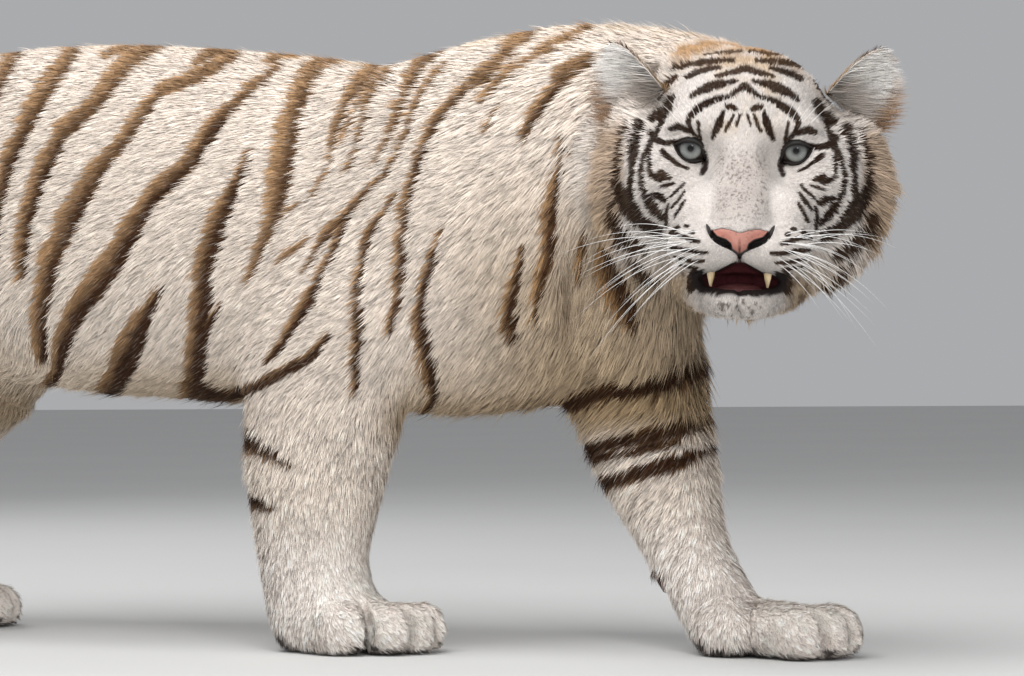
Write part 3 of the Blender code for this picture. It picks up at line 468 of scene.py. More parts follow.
def face_marks(p, h, fine, middle):
    """The markings at head points, as cover, tone and depth, a little warped on the head's left side."""
    forward, side, up = h.T
    warp = 0.0022 * smoothstep(0.0, 0.03, side)
    far, chart_side, chart_up = FACE_CHART
    spread = (far - 0.02) / (far - forward)
    a = np.abs(chart_side + (side - chart_side) * spread) + warp * noise(p, 0.03, 31)
    b = chart_up + (up - chart_up) * spread + warp * noise(p, 0.03, 32)
    cover, tone, deep, _ = strokes_over(a, b, FACE, 0.0006 * middle + 0.0005 * fine, *FACE_EDGE)
    cover = cover * smoothstep(-0.20, -0.17, forward)
    muzzle = (up < -0.084) & (np.abs(side) < 0.085)
    return np.where(muzzle, cover * smoothstep(-0.01, 0.02, forward), cover), tone, deep


def lip_share(h, gap, fine, middle):
    """How far head points are on the black of the lips and of the mouth's corners, from 0 to 1."""
    forward, side, up = h.T
    out = np.abs(side)
    lower = smoothstep(-0.143, -0.149, up) * smoothstep(0.060, 0.045, out)
    inner = smoothstep(0.034, 0.040, out) * smoothstep(0.0075, 0.0055, gap)
    lip = np.maximum(smoothstep(0.0022, 0.0008, gap),
                     smoothstep(0.0090, 0.0065, gap + 0.0008 * fine) * np.maximum(lower, inner))
    corner = smoothstep(1.15, 0.75, np.hypot((out - 0.0425) / 0.0080, (up + 0.1475) / 0.0085) + 0.20 * middle)
    return np.maximum(lip * smoothstep(-0.02, 0.0, forward), 0.9 * corner * smoothstep(-0.01, 0.02, forward))


def sole_share(p, fine, middle):
    """How far body points are on the dark skin of a sole, a heel or a toe's tip, from 0 to 1."""
    z = p[:, 2]
    low = z + 0.003 * middle
    sole = smoothstep(0.010, 0.004, low)
    for foot in FEET:
        forward, side, _ = in_foot(p, foot).T
        heel = smoothstep(-0.050, -0.070, forward) * smoothstep(0.030, 0.018, low)
        sole = np.maximum(sole, heel * (np.abs(forward) < 0.12) * (np.abs(side) < 0.09))
        for ahead, left, _ in foot[4]:
            tip = smoothstep(0.020, 0.027, forward - ahead) * smoothstep(0.016, 0.010, z + 0.002 * fine)
            sole = np.maximum(sole, tip * (np.abs(side - left) < 0.02) * (np.abs(forward - ahead) < 0.05))
        edge = smoothstep(0.016, 0.009, low) * (np.hypot(forward, side) < 0.12)
        sole = np.maximum(sole, edge * (foot[0] > 0.4) * (forward < 0.0))
    return sole


def coat_colour(p, choice=None):
    """The colour of the coat at body points, and how far each is in a marking.
    choice, from -1 to 1, sends a tuft at a marking's edge to one side or the other."""
    z = p[:, 2]
    fine, middle, broad = noise(p, 0.006, 11), noise(p, 0.022, 12), noise(p, 0.080, 13)
    share = head_share(p)
    body = 1 - share
    h = to_head(p)
    forward, side, up = h.T
    out = np.abs(side)
    cover, tone, deep, ahead, fore = body_marks(p, fine, middle)
    face_cover, face_tone, face_deep = face_marks(p, h, fine, middle)
    cover = faded(cover, face_cover, share)
    tone = faded(tone, face_tone, share)
    deep = faded(deep, face_deep + 0.002, share)
    # a stripe is golden on its rear edge, along its rim and high on the back, and nearly black low down
    golden = np.clip(0.30 * tone + 0.26 * smoothstep(0.58, 0.74, z) * body - 0.15 * smoothstep(0.45, 0.35, z)
                     + 0.14 * middle + 0.10 + 0.40 * smoothstep(0.0048, 0.0, deep) * body
                     + 0.75 * smoothstep(0.15, -0.70, ahead + 0.25 * fine) * body * (1 - fore)
                     - 0.35 * smoothstep(-0.1, 0.7, ahead) * body, 0, 1)
    black = np.clip(0.2 * smoothstep(0.42, 0.33, z) * body + 0.80 * share * (1 - 0.8 * face_tone), 0, 1)
    stripe = layered(CHOCOLATE, ((GOLD, golden), (NEAR_BLACK, black)))
    if choice is not None:
        cover = smoothstep(0.18, 0.82, cover + 0.36 * choice)
    tear = line_gap(out, up, TEAR_LINE) + 0.0018 * fine + 0.10 * np.maximum(-0.014 - up, 0)
    tear = smoothstep(0.0054, 0.0030, tear) * smoothstep(-0.04, -0.02, forward)
    gap = mouth_gap(h)
    near = np.flatnonzero((share > 0) & (gap < 0.006) & (forward > -0.02))
    sunk = np.zeros(len(p))
    sunk[near] = smoothstep(0.0035, 0.0070, -closed_head(h[near]))
    lining = mixed(np.array(LIP_BLACK), MOUTH_RED, smoothstep(0.070, 0.050, forward + 0.4 * out))
    base = mixed(body_ground(p, fine, middle, broad), face_ground(p, h, fine, middle), share)
    result = layered(base * (1 + 0.04 * middle + 0.03 * fine + 0.04 * broad)[:, None], (
        (stripe, cover * (1 - 0.06 * golden)),
        (TEAR_BROWN, 0.97 * tear * share),
        (LIP_BLACK, in_lids(h, 1.10) * share),
        (LIP_BLACK, lip_share(h, gap, fine, middle) * share),
        (lining, sunk * share),
        # deep in the clefts between the toes: the claws' brown and painted shade
        (CLAW_BROWN_AND_CLEFT_SHADE, 0.85 * smoothstep(0.45, 0.95, toe_cleft(p)[0])),
        (SOLE_BLACK, 0.92 * sole_share(p, fine, middle)),
        (PAD_BROWN, carpal_pad(p))))
    # Painted shade in the crease over the left forepaw's outer toe.
    result = result * (1 - 0.15 * outer_lobe(p)[1])[:, None]
    return np.clip(result, 0.004, 0.95), cover


# ---------------------------------------------------------------- the skin's form
FLESH = ("trunk", "neck", "head", "lower_jaw", "foreleg_right", "foreleg_left", "hindleg_right",
         "hindleg_left", "forepaw_right", "forepaw_left", "hindpaw_right", "hindpaw_left", "tail_base",
         "tail_middle", "tail_tip")
SKIN_VOXEL = 0.007
# How far each solid is grown, so that the thin cuts between them close.
GROWTH = 0.0006
# The forms of the head: centre (forward, out, up), half sizes, softness of the join. All are on both sides.
HEAD_FORMS = (
    ((-0.112, 0.000, 0.030), (0.090, 0.098, 0.093), 0.030),
    ((-0.170, 0.000, -0.010), (0.085, 0.112, 0.112), 0.030),
    ((-0.115, 0.000, -0.100), (0.078, 0.078, 0.066), 0.030),
    ((-0.112, 0.104, -0.028), (0.052, 0.060, 0.078), 0.030),
    ((-0.100, 0.080, -0.080), (0.055, 0.056, 0.058), 0.030),
    ((-0.052, 0.000, 0.036), (0.061, 0.080, 0.060), 0.020),
    ((-0.020, 0.050, 0.027), (0.027, 0.036, 0.020), 0.014),
    ((-0.048, 0.078, -0.036), (0.062, 0.054, 0.058), 0.020),
    ((-0.014, 0.000, 0.000), (0.036, 0.036, 0.040), 0.022),
    ((0.006, 0.046, -0.078), (0.056, 0.036, 0.042), 0.018),
    ((0.053, 0.037, -0.108), (0.045, 0.042, 0.028), 0.011),
    ((0.066, 0.000, -0.100), (0.034, 0.026, 0.026), 0.012),
    ((-0.020, 0.036, -0.134), (0.070, 0.038, 0.040), 0.018),
    ((0.030, 0.016, -0.161), (0.046, 0.030, 0.022), 0.014),
    ((0.056, 0.000, -0.163), (0.032, 0.034, 0.020), 0.012),
    ((0.015, 0.000, -0.128), (0.048, 0.040, 0.032), 0.010),
)
# The bridge, from between the brows to the nose: its two ends, their radii, and how much wider than deep it is.
BRIDGE = ((-0.022, 0.0, -0.006), (0.070, 0.0, -0.080), 0.033, 0.025, 1.22)
# The parted lips: a low hollow from corner to corner, and the peak of the upper lip under the nose.
MOUTH = ((0.056, 0.0, -0.1440), (0.056, 0.0450, 0.0110))
LIP_PEAK = 0.1222
LIP_SLOPE = 0.52
LIP_HALF_WIDTH = 0.036
EYE_HOLLOW = ((0.024, 0.050, -0.006), (0.024, 0.026, 0.020))
# The opening of the lids, from the inner corner (negative) to the outer one, in metres from the eye's middle.
ALMOND = np.array((
    (17.6, 2.9), (14.4, 4.7), (10.2, 6.2), (4.0, 7.1), (-2.4, 6.8), (-7.6, 5.0), (-11.4, 1.9), (-13.8, -2.4),
    (-15.4, -7.6), (-17.3, -14.6), (-13.2, -13.2), (-9.4, -13.6), (-3.8, -14.8), (2.4, -14.2), (8.4, -11.4),
    (12.8, -7.0), (15.8, -1.9))) * MM


def ellipsoid(p, centre, radii):
    """About the distance from an ellipsoid's surface, below 0 inside."""
    q = p - centre
    near = np.linalg.norm(q / radii, axis=1)
    slope = np.linalg.norm(q / np.square(radii), axis=1)
    return near * (near - 1) / np.maximum(slope, 1e-6)


def soft_least(a, b, soft):
    blend = np.clip(0.5 + 0.5 * (b - a) / soft, 0, 1)
    return b + (a - b) * blend - soft * blend * (1 - blend)


def mouth_gap(h):
    """About the distance from the hollow of the mouth, below 0 in it, at head points."""
    forward, out, up = h[:, 0], np.abs(h[:, 1]), h[:, 2]
    peak = np.stack([0.91 * (up + LIP_PEAK + LIP_SLOPE * out), -0.150 - up, out - LIP_HALF_WIDTH,
                     0.030 - forward])
    return np.minimum(ellipsoid(h, *MOUTH), peak.max(axis=0))


def closed_head(h):
    """About the distance from the head's form with its mouth filled, below 0 inside, at head points."""
    q = h.copy()
    q[:, 1] = np.abs(q[:, 1])
    total = None
    for centre, radii, soft in HEAD_FORMS:
        one = ellipsoid(q, centre, radii)
        total = one if total is None else soft_least(one, total, soft)
    start, end, thick, thin, wide = (np.array(value) for value in BRIDGE)
    squeezed = q / (1, wide, 1)
    step = end - start
    t = np.clip((squeezed - start) @ step / (step @ step), 0, 1)
    bridge = np.linalg.norm(squeezed - start - t[:, None] * step, axis=1) - (thick + (thin - thick) * t)
    total = soft_least(bridge, total, 0.014)
    return -soft_least(-total, ellipsoid(q, *EYE_HOLLOW), 0.016)


def head_distance(h):
    """About the distance from the head's skin, below 0 inside, at head points."""
    forward, side, up = h.T
    total = -soft_least(-closed_head(h), mouth_gap(h), 0.004)
    cleft = 0.0035 * np.exp(-np.square(side / 0.0024)) * smoothstep(-0.112, -0.117, up)
    return total + cleft * smoothstep(0.05, 0.08, forward)


def values(items, name, width, kind=float):
    """One property of all the items of a mesh, a row for each."""
    found = np.empty(len(items) * width, dtype=kind)
    items.foreach_get(name, found)
    return found.reshape(-1, width)


def points_of(mesh):
    return values(mesh.vertices, "co", 3)


def normals_of(mesh):
    return values(mesh.vertices, "normal", 3)


def edit(mesh, change):
    """Runs a change on a mesh as a bmesh."""
    work = bmesh.new()
    work.from_mesh(mesh)
    change(work)
    work.to_mesh(mesh)
    work.free()
    return mesh


def mesh_of(name, points, faces):
    mesh = bpy.data.meshes.new(name)
    mesh.from_pydata(points, [], faces)
    mesh.update()
    return mesh


def grid_faces(rows, columns):
    """The faces over a grid of points, row after row."""
    corners = [(i * (columns + 1) + j) for i in range(rows) for j in range(columns)]
    return [(a, a + 1, a + columns + 2, a + columns + 1) for a in corners]


def set_points(mesh, co):
    mesh.vertices.foreach_set("co", co.ravel())
    mesh.update()


def smoothed(mesh, co, rounds, share=None):
    """Laplace smoothing of points over the mesh's edges."""
    a, b = values(mesh.edges, "vertices", 2, np.int64).T
    count = np.bincount(a, minlength=len(co)) + np.bincount(b, minlength=len(co))
    count = np.maximum(count, 1)
    for _ in range(rounds):
        total = [np.bincount(a, co[b, k], len(co)) + np.bincount(b, co[a, k], len(co)) for k in range(3)]
        mean = np.stack(total, axis=1) / count[:, None]
        co = mean if share is None else co + (mean - co) * share[:, None]
    return co


def new_object(name, data):
    thing = bpy.data.objects.new(name, data)
    bpy.context.scene.collection.objects.link(thing)
    return thing


def apply_modifiers(thing):
    made = bpy.data.meshes.new_from_object(thing.evaluated_get(bpy.context.evaluated_depsgraph_get()))
    thing.modifiers.clear()
    thing.data = made


def subdivide_where(mesh, chosen):
    """Splits each edge of the faces whose centre is chosen."""
    def change(work):
        edges = {edge for face, wanted in zip(work.faces, chosen) if wanted for edge in face.edges}
        bmesh.ops.subdivide_edges(work, edges=list(edges), cuts=1, use_grid_fill=True)

    edit(mesh, change)


def face_centres(mesh):
    return values(mesh.polygons, "center", 3) - SHIFT


def form_share(p):
    """1 where the skin follows the head's own form, 0 where it follows the solids."""
    return smoothstep(-0.112, -0.070, to_head(p)[:, 0]) * head_share(p, 0.040)


def project_head(mesh, rounds):
    """Moves the head's points on to its own form."""
    body = points_of(mesh) - SHIFT
    share = form_share(body)
    near = np.flatnonzero(share > 0.01)
    h = to_head(body[near])
    step = 0.0006
    for _ in range(rounds):
        value = head_distance(h)
        slope = np.stack([(head_distance(h + shift) - head_distance(h - shift)) / (2 * step)
                          for shift in step * np.eye(3)], axis=1)
        move = np.clip(value, -0.012, 0.012) / np.maximum(np.square(slope).sum(axis=1), 0.3)
        h = h - (0.8 * share[near] * move)[:, None] * slope
    body[near] = from_head(h)
    set_points(mesh, body + SHIFT)


def inside_outline(x, y, outline):
    """Which points are inside a closed outline."""
    found = np.zeros(len(x), dtype=bool)
    for (ax, ay), (bx, by) in zip(outline, np.roll(outline, -1, axis=0)):
        crossing = (ay > y) != (by > y)
        at = ax + (y - ay) / (by - ay if by != ay else 1e-12) * (bx - ax)
        found ^= crossing & (x < at)
    return found


def in_lids(h, grown=1.0):
    """Which head points are within the opening of the lids, grown by that factor."""
    return inside_outline(np.abs(h[:, 1]) - EYE_SIDE, h[:, 2] - EYE_UP, ALMOND * grown) & (h[:, 0] > -0.045)


def eye_middle(side):
    return np.array((EYE_BACK, side * EYE_SIDE, EYE_UP))


def set_eyes(mesh):
    """Opens the skin over each eyeball and lays the lids on it."""
    h = to_head(points_of(mesh) - SHIFT)
    for side in SIDES:
        offset = h - eye_middle(side)
        near = np.flatnonzero((np.linalg.norm(offset, axis=1) < 0.045) & (offset[:, 0] > -0.006))
        q = offset[near]
        inside = inside_outline(q[:, 1] * side, q[:, 2], ALMOND)
        reach = np.linalg.norm(q, axis=1)
        grown = np.maximum(reach, EYE_RADIUS + LID_THICK)[:, None] * q / reach[:, None]
        sunk = q.copy()
        sunk[:, 0] = np.minimum(sunk[:, 0], 0.0) - 0.004
        h[near] = eye_middle(side) + np.where(inside[:, None], sunk, grown)
    set_points(mesh, from_head(h) + SHIFT)


def sink_nose(mesh):
    """Sinks the skin behind the nose leather and clears the mouth, so that nostrils and lips are open."""
    h = to_head(points_of(mesh) - SHIFT)
    out, up = np.abs(h[:, 1]), h[:, 2]
    top, bottom = nose_edges(out)
    rim = np.minimum(np.minimum(up - bottom, top - up), NOSE_HALF_WIDTH - out)
    h[:, 0] -= 0.014 * smoothstep(0.0003, 0.0035, rim) * (h[:, 0] > 0.055)
    stuck = (mouth_gap(h) < -0.0008) & (head_distance(h) > 0.0012) & (h[:, 0] > 0.030)
    h[stuck, 0] = 0.034
    set_points(mesh, from_head(h) + SHIFT)


def in_foot(p, foot):
    """Body points as (forward, left, up) from a foot's middle, for a foot of size 1."""
    x, y, degrees, size, _ = foot
    return (p - (x, y, 0)) @ turn("Z", degrees) / size


def toe_cleft(p):
    """How deep in a cleft between two toes each body point is, from 0 to 1, and how far on a toe's bulge."""
    cleft, bulge = np.zeros((2, len(p)))
    for foot in FEET:
        local = in_foot(p, foot)
        near = np.flatnonzero((np.abs(local) < (0.14, 0.09, np.inf)).all(axis=1) & (local[:, 2] < 0.10))
        if not len(near):
            continue
        forward, side, up = local[near].T
        gaps = []
        for ahead, left, fat in foot[4]:
            gap = np.hypot((forward - ahead) / (TOE_SIZE[0] * fat), (side - left) / (TOE_SIZE[1] * fat))
            gaps.append((gap - 1) * TOE_SIZE[1] * fat)
        gaps = np.sort(np.array(gaps), axis=0)
        reach = smoothstep(0.016, 0.004, gaps[0])
        low = smoothstep(0.075, 0.045, up)
        apart = gaps[1] - gaps[0]
        cleft[near] = np.maximum(cleft[near], np.exp(-np.square(apart / 0.0075)) * reach * low)
        bulge[near] = np.maximum(bulge[near], reach * smoothstep(0.006, 0.016, apart) * low)
    return cleft, bulge


def outer_lobe(p):
    """The round outer toe low on the left forepaw's side, and the crease over it, from 0 to 1."""
    forward, side, up = in_foot(p, FEET[1]).T
    gap = np.hypot((forward + 0.048) / 0.036, (up - 0.030) / 0.040)
    near = (side < 0.0) & (side > -0.10)
    crease = np.exp(-np.square((gap - 1.12) / 0.14)) * smoothstep(-0.075, -0.035, forward + 0.3 * up)
    return smoothstep(1.1, 0.45, gap) * near, crease * near * (gap < 1.6)


def carpal_pad(p):
    """The bare pad behind the left wrist, from 0 to 1."""
    return smoothstep(1.10, 0.80, np.linalg.norm((p - CARPAL_PAD[0]) / CARPAL_PAD[1], axis=1))


def toe_clefts(co, normals):
    """Presses the clefts between the toes into the paws, and raises the toes and the pads."""
    body = co - SHIFT
    cleft, bulge = toe_cleft(body)
    lobe, crease = outer_lobe(body)
    lift = 0.0035 * bulge - 0.0140 * cleft + 0.0080 * lobe - 0.0035 * crease + 0.0045 * carpal_pad(body)
    return co + normals * lift[:, None]


def coat_depth(p):
    """How far the skin lies inside the solids at body points."""
    x, y, z = p.T
    depth = 0.009 + 0.004 * smoothstep(0.36, 0.29, z) + 0.004 * smoothstep(0.15, 0.30, x)
    leg = smoothstep(0.29, 0.20, z)
    depth = faded(depth, 0.0055, leg)
    depth = depth * (1 - 0.4 * smoothstep(0.07, 0.03, z))
    _, tail_at, _ = along_tail(p)
    depth = np.where(tail_at > 0.05, np.minimum(depth, 0.007), depth)
    _, side, up = to_head(p).T
    ruff = smoothstep(0.09, 0.15, np.abs(side)) * smoothstep(0.04, -0.02, up)
    return depth + (0.010 + 0.006 * ruff - depth) * head_share(p, 0.060)


EAR_ROOT = (-0.112, 0.124, 0.073)
EAR_TIP_WAY = (0.05, 0.60, 0.80)
EAR_FACE_WAY = (0.76, 0.62, -0.10)
EAR_HALF_WIDTH = 0.046
EAR_LENGTH = 0.080
EAR_THICK = 0.0032
EAR_GRID = 30


def ear_ways(side):
    """An ear's root, its way to the tip, the way it faces, and the way across it, in head measures."""
    root = np.array(EAR_ROOT) * (1, side, 1)
    tip = unit(np.array(EAR_TIP_WAY) * (1, side, 1))
    face = np.array(EAR_FACE_WAY) * (1, side, 1)
    face = unit(face - tip * (face @ tip))
    return root, tip, face, np.cross(face, tip)


def ear_shell(side):
    """A cupped ear as a closed shell of two sheets, on its head place."""
    root, tip_way, face_way, across = ear_ways(side)
    points = []
    for layer in SIDES:
        for i in range(EAR_GRID + 1):
            v = 1 - (1 - i / EAR_GRID) ** 1.5
            narrow = max(1 - v ** 1.35, 0.0) ** 0.60
            for j in range(EAR_GRID + 1):
                w = math.sin(math.pi * (j / EAR_GRID - 0.5))
                thick = EAR_THICK * math.sqrt(max(1 - w ** 4, 0)) * math.sqrt(max(1 - v ** 6, 0))
                cup = 0.021 * narrow ** 2 * w * w * (0.6 + 0.4 * w * w) - 0.010 * v * v
                points.append(root + tip_way * (-0.020 + EAR_LENGTH * v) + across * EAR_HALF_WIDTH * narrow * w
                              + face_way * (cup + layer * thick))
    grid = np.arange((EAR_GRID + 1) ** 2).reshape(EAR_GRID + 1, -1)
    sheet = grid_faces(EAR_GRID, EAR_GRID)
    faces = [quad[::-1] for quad in sheet] + [tuple(k + grid.size for k in quad) for quad in sheet]
    border = np.concatenate([grid[0], grid[1:, -1], grid[-1, -2::-1], grid[-2:0:-1, 0]]).tolist()
    for a, b in zip(border, border[1:] + border[:1]):
        faces.append((b, a, a + grid.size, b + grid.size))
    if side < 0:
        faces = [face[::-1] for face in faces]

    def join(work):
        bmesh.ops.remove_doubles(work, verts=work.verts, dist=0.0002)
        bmesh.ops.recalc_face_normals(work, faces=work.faces)

    return edit(mesh_of("ear_shell", [tuple(from_head(p) + SHIFT) for p in points], faces), join)


def head_core():
    """The head's form as a closed mesh, for the skin to grow from."""
    step, outside = 0.004, 0.05
    low, high = np.array((-0.27, -0.19, -0.22)), np.array((0.12, 0.19, 0.14))
    counts = np.ceil((high - low) / step).astype(int)
    axes = [low[k] + step * np.arange(counts[k]) for k in range(3)]
    h = np.stack(np.meshgrid(*axes, indexing="ij"), axis=-1).reshape(-1, 3)
    value = np.pad(head_distance(h).reshape(counts), 1, constant_values=outside)
    grid = openvdb.FloatGrid(outside)
    grid.copyFromArray(value.astype(np.float32))
    points, quads = grid.convertToQuads(0.0)
    points = (np.array(points, dtype=float) - 1) * step + low
    return mesh_of("head_core", (from_head(points) + SHIFT).tolist(), np.array(quads).tolist())


def grown_solid(name):
    """A copy of a solid, grown by a hair. Only the part of the head behind its own form is kept."""
    def change(work):
        bmesh.ops.remove_doubles(work, verts=work.verts, dist=0.00001)
        if name == "head":
            cut = bmesh.ops.bisect_plane(work, geom=work.verts[:] + work.edges[:] + work.faces[:],
                                         plane_co=from_head((-0.085, 0, 0)) + SHIFT, plane_no=HEAD[:, 0],
                                         clear_outer=True)
            rim = [part for part in cut["geom_cut"] if isinstance(part, bmesh.types.BMEdge)]
            bmesh.ops.edgenet_fill(work, edges=rim)
        bmesh.ops.recalc_face_normals(work, faces=work.faces)
        for vertex in work.verts:
            vertex.co += vertex.normal * GROWTH

    return edit(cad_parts[name].data.copy(), change)


def join_into(mesh, pieces):
    """Adds meshes to a mesh and deletes them."""
    def change(work):
        for piece in pieces:
            work.from_mesh(piece)
            bpy.data.meshes.remove(piece)

    return edit(mesh, change)


def build_skin():
    """One skin for the whole animal, inside the solids by the coat's depth, and the ears' shells."""
    solids = [grown_solid(name) for name in FLESH if name != "lower_jaw"]
    skin = new_object("skin", join_into(bpy.data.meshes.new("skin"), [head_core(), *solids]))
    remesh = skin.modifiers.new("remesh", "REMESH")
    remesh.mode = "VOXEL"
    remesh.voxel_size = SKIN_VOXEL
    apply_modifiers(skin)
    mesh = skin.data
    set_points(mesh, smoothed(mesh, points_of(mesh), 9))
    co = points_of(mesh)
    calm = unit(smoothed(mesh, normals_of(mesh), 6))
    depth = coat_depth(co - SHIFT) * (1 - form_share(co - SHIFT))
    set_points(mesh, co - calm * depth[:, None])
    centres = face_centres(mesh)
    subdivide_where(mesh, (head_share(centres) > 0.02) | (centres[:, 2] < 0.062))
    project_head(mesh, 3)
    centres = face_centres(mesh)
    forward, side, up = to_head(centres).T
    face = (forward > -0.035) & (np.abs(side) < 0.098) & (up > -0.19) & (up < 0.060)
    cleft, bulge = toe_cleft(centres)
    subdivide_where(mesh, face & (head_share(centres) > 0.5) | (cleft + bulge > 0.05))
    project_head(mesh, 5)
    co = points_of(mesh)
    share = 0.5 * smoothstep(-0.06, -0.03, to_head(co - SHIFT)[:, 0]) * head_share(co - SHIFT)
    set_points(mesh, smoothed(mesh, co, 3, share))
    project_head(mesh, 2)
    set_eyes(mesh)
    sink_nose(mesh)
    co = toe_clefts(points_of(mesh), unit(smoothed(mesh, normals_of(mesh), 4)))
    co[:, 2] = np.maximum(co[:, 2], 0.0016)
    set_points(mesh, co)
    skin["ear_faces"] = len(mesh.polygons)
    join_into(mesh, [ear_shell(side) for side in SIDES])
    mesh.update()
    return skin


# ---------------------------------------------------------------- the lie of the coat
# Place and way on the body, hair length in millimetres, lift in degrees.
# A place left of the middle is on both sides.
BODY_FLOW = (
    ((-0.75, 0, 0.72), (-1, 0, -0.25), 19.2, 10), ((-0.5, 0, 0.74), (-1, 0, 0), 18, 10),
    ((-0.2, 0, 0.73), (-1, 0, 0), 18, 10), ((0.05, 0, 0.71), (-1, 0, 0.05), 19.2, 11),
    ((0.22, 0, 0.745), (-1, 0, 0.05), 21.6, 14), ((0.36, 0, 0.73), (-0.9, 0, 0.2), 24, 19),
    ((-0.6, 0.16, 0.56), (-0.9, 0, -0.45), 18, 11), ((-0.35, 0.18, 0.58), (-1, 0, -0.25), 16.8, 10),
    ((-0.1, 0.18, 0.58), (-1, 0, -0.25), 15.6, 10), ((0.1, 0.16, 0.58), (-0.95, 0, -0.35), 16.8, 11),
    ((0.22, 0.14, 0.6), (-0.85, 0, -0.5), 19.2, 13), ((-0.42, 0.17, 0.36), (-0.75, 0, -0.65), 24, 15),
    ((-0.2, 0.18, 0.38), (-0.75, 0, -0.65), 21.6, 14), ((-0.02, 0.18, 0.4), (-0.85, 0, -0.5), 16.8, 12),
    ((0.12, 0.16, 0.42), (-0.75, 0, -0.6), 19.2, 14), ((0.12, 0.13, 0.32), (-0.6, 0, -0.75), 26.4, 19),
    ((-0.45, 0, 0.3), (-0.8, 0, -0.5), 33.6, 23), ((-0.15, 0, 0.28), (-0.8, 0, -0.5), 31.2, 23),
    ((0.1, 0, 0.28), (-0.7, 0, -0.6), 33.6, 25), ((0.22, 0.15, 0.48), (-0.6, 0, -0.75), 22.8, 15),
    ((0.3, 0.15, 0.57), (-0.5, 0, -0.85), 26.4, 19), ((0.34, 0.1, 0.45), (-0.3, 0, -0.95), 31.2, 21),
    ((0.4, 0, 0.42), (-0.1, 0, -1), 33.6, 23), ((0.28, 0, 0.32), (-0.6, 0, -0.7), 33.6, 25),
)
LEG_FLOW = (
    ((-0.03, -0.14, 0.33), (-0.55, 0, -0.85), 19.6, 16), ((-0.05, -0.14, 0.24), (-0.3, 0, -0.95), 15.4, 14),
    ((-0.05, -0.12, 0.15), (-0.05, 0, -1), 12.6, 13), ((-0.04, -0.11, 0.09), (0.05, 0, -1), 11.2, 13),
    ((-0.15, -0.12, 0.26), (-0.6, 0, -0.8), 22.4, 29), ((-0.12, -0.11, 0.14), (-0.4, 0, -0.9), 15.4, 26),
    ((0.06, -0.12, 0.27), (-0.2, 0, -0.95), 21, 26), ((0.02, -0.11, 0.045), (0.8, 0, -0.5), 9.1, 17),
    ((0.06, -0.11, 0.035), (0.8, 0, -0.55), 8.4, 20), ((-0.06, -0.11, 0.03), (-0.2, 0, -0.95), 11.2, 23),
    ((0.27, 0.02, 0.33), (-0.7, 0, -0.7), 28, 25), ((0.33, 0.03, 0.22), (-0.5, 0, -0.85), 19.6, 20),
    ((0.37, 0.02, 0.14), (-0.3, 0, -0.95), 15.4, 16), ((0.41, 0, 0.08), (0.1, 0, -1), 11.2, 14),
    ((0.26, 0.05, 0.22), (-0.7, 0, -0.7), 22.4, 32), ((0.52, -0.03, 0.045), (0.8, 0, -0.5), 9.1, 17),
    ((0.56, -0.03, 0.035), (0.8, 0, -0.55), 8.4, 20), ((0.43, -0.02, 0.03), (-0.2, 0, -0.95), 11.2, 23),
    ((-0.64, 0.17, 0.42), (-0.6, 0, -0.8), 21, 16), ((-0.72, 0.15, 0.32), (-0.5, 0, -0.85), 18.2, 16),
    ((-0.82, -0.12, 0.24), (-0.5, 0, -0.85), 15.4, 16), ((-0.77, 0.12, 0.24), (-0.5, 0, -0.85), 15.4, 16),
    ((-0.92, -0.12, 0.14), (0.1, 0, -1), 12.6, 14), ((-0.8, 0.11, 0.14), (0.1, 0, -1), 12.6, 14),
    ((-0.91, -0.12, 0.08), (0.1, 0, -1), 11.2, 14), ((-0.79, 0.11, 0.08), (0.1, 0, -1), 11.2, 14),
    ((-0.85, -0.12, 0.04), (0.8, 0, -0.5), 9.1, 17), ((-0.71, 0.11, 0.04), (0.8, 0, -0.5), 9.1, 17),
    ((-0.8, -0.12, 0.03), (0.8, 0, -0.55), 8.4, 20), ((-0.66, 0.11, 0.03), (0.8, 0, -0.55), 8.4, 20),
)
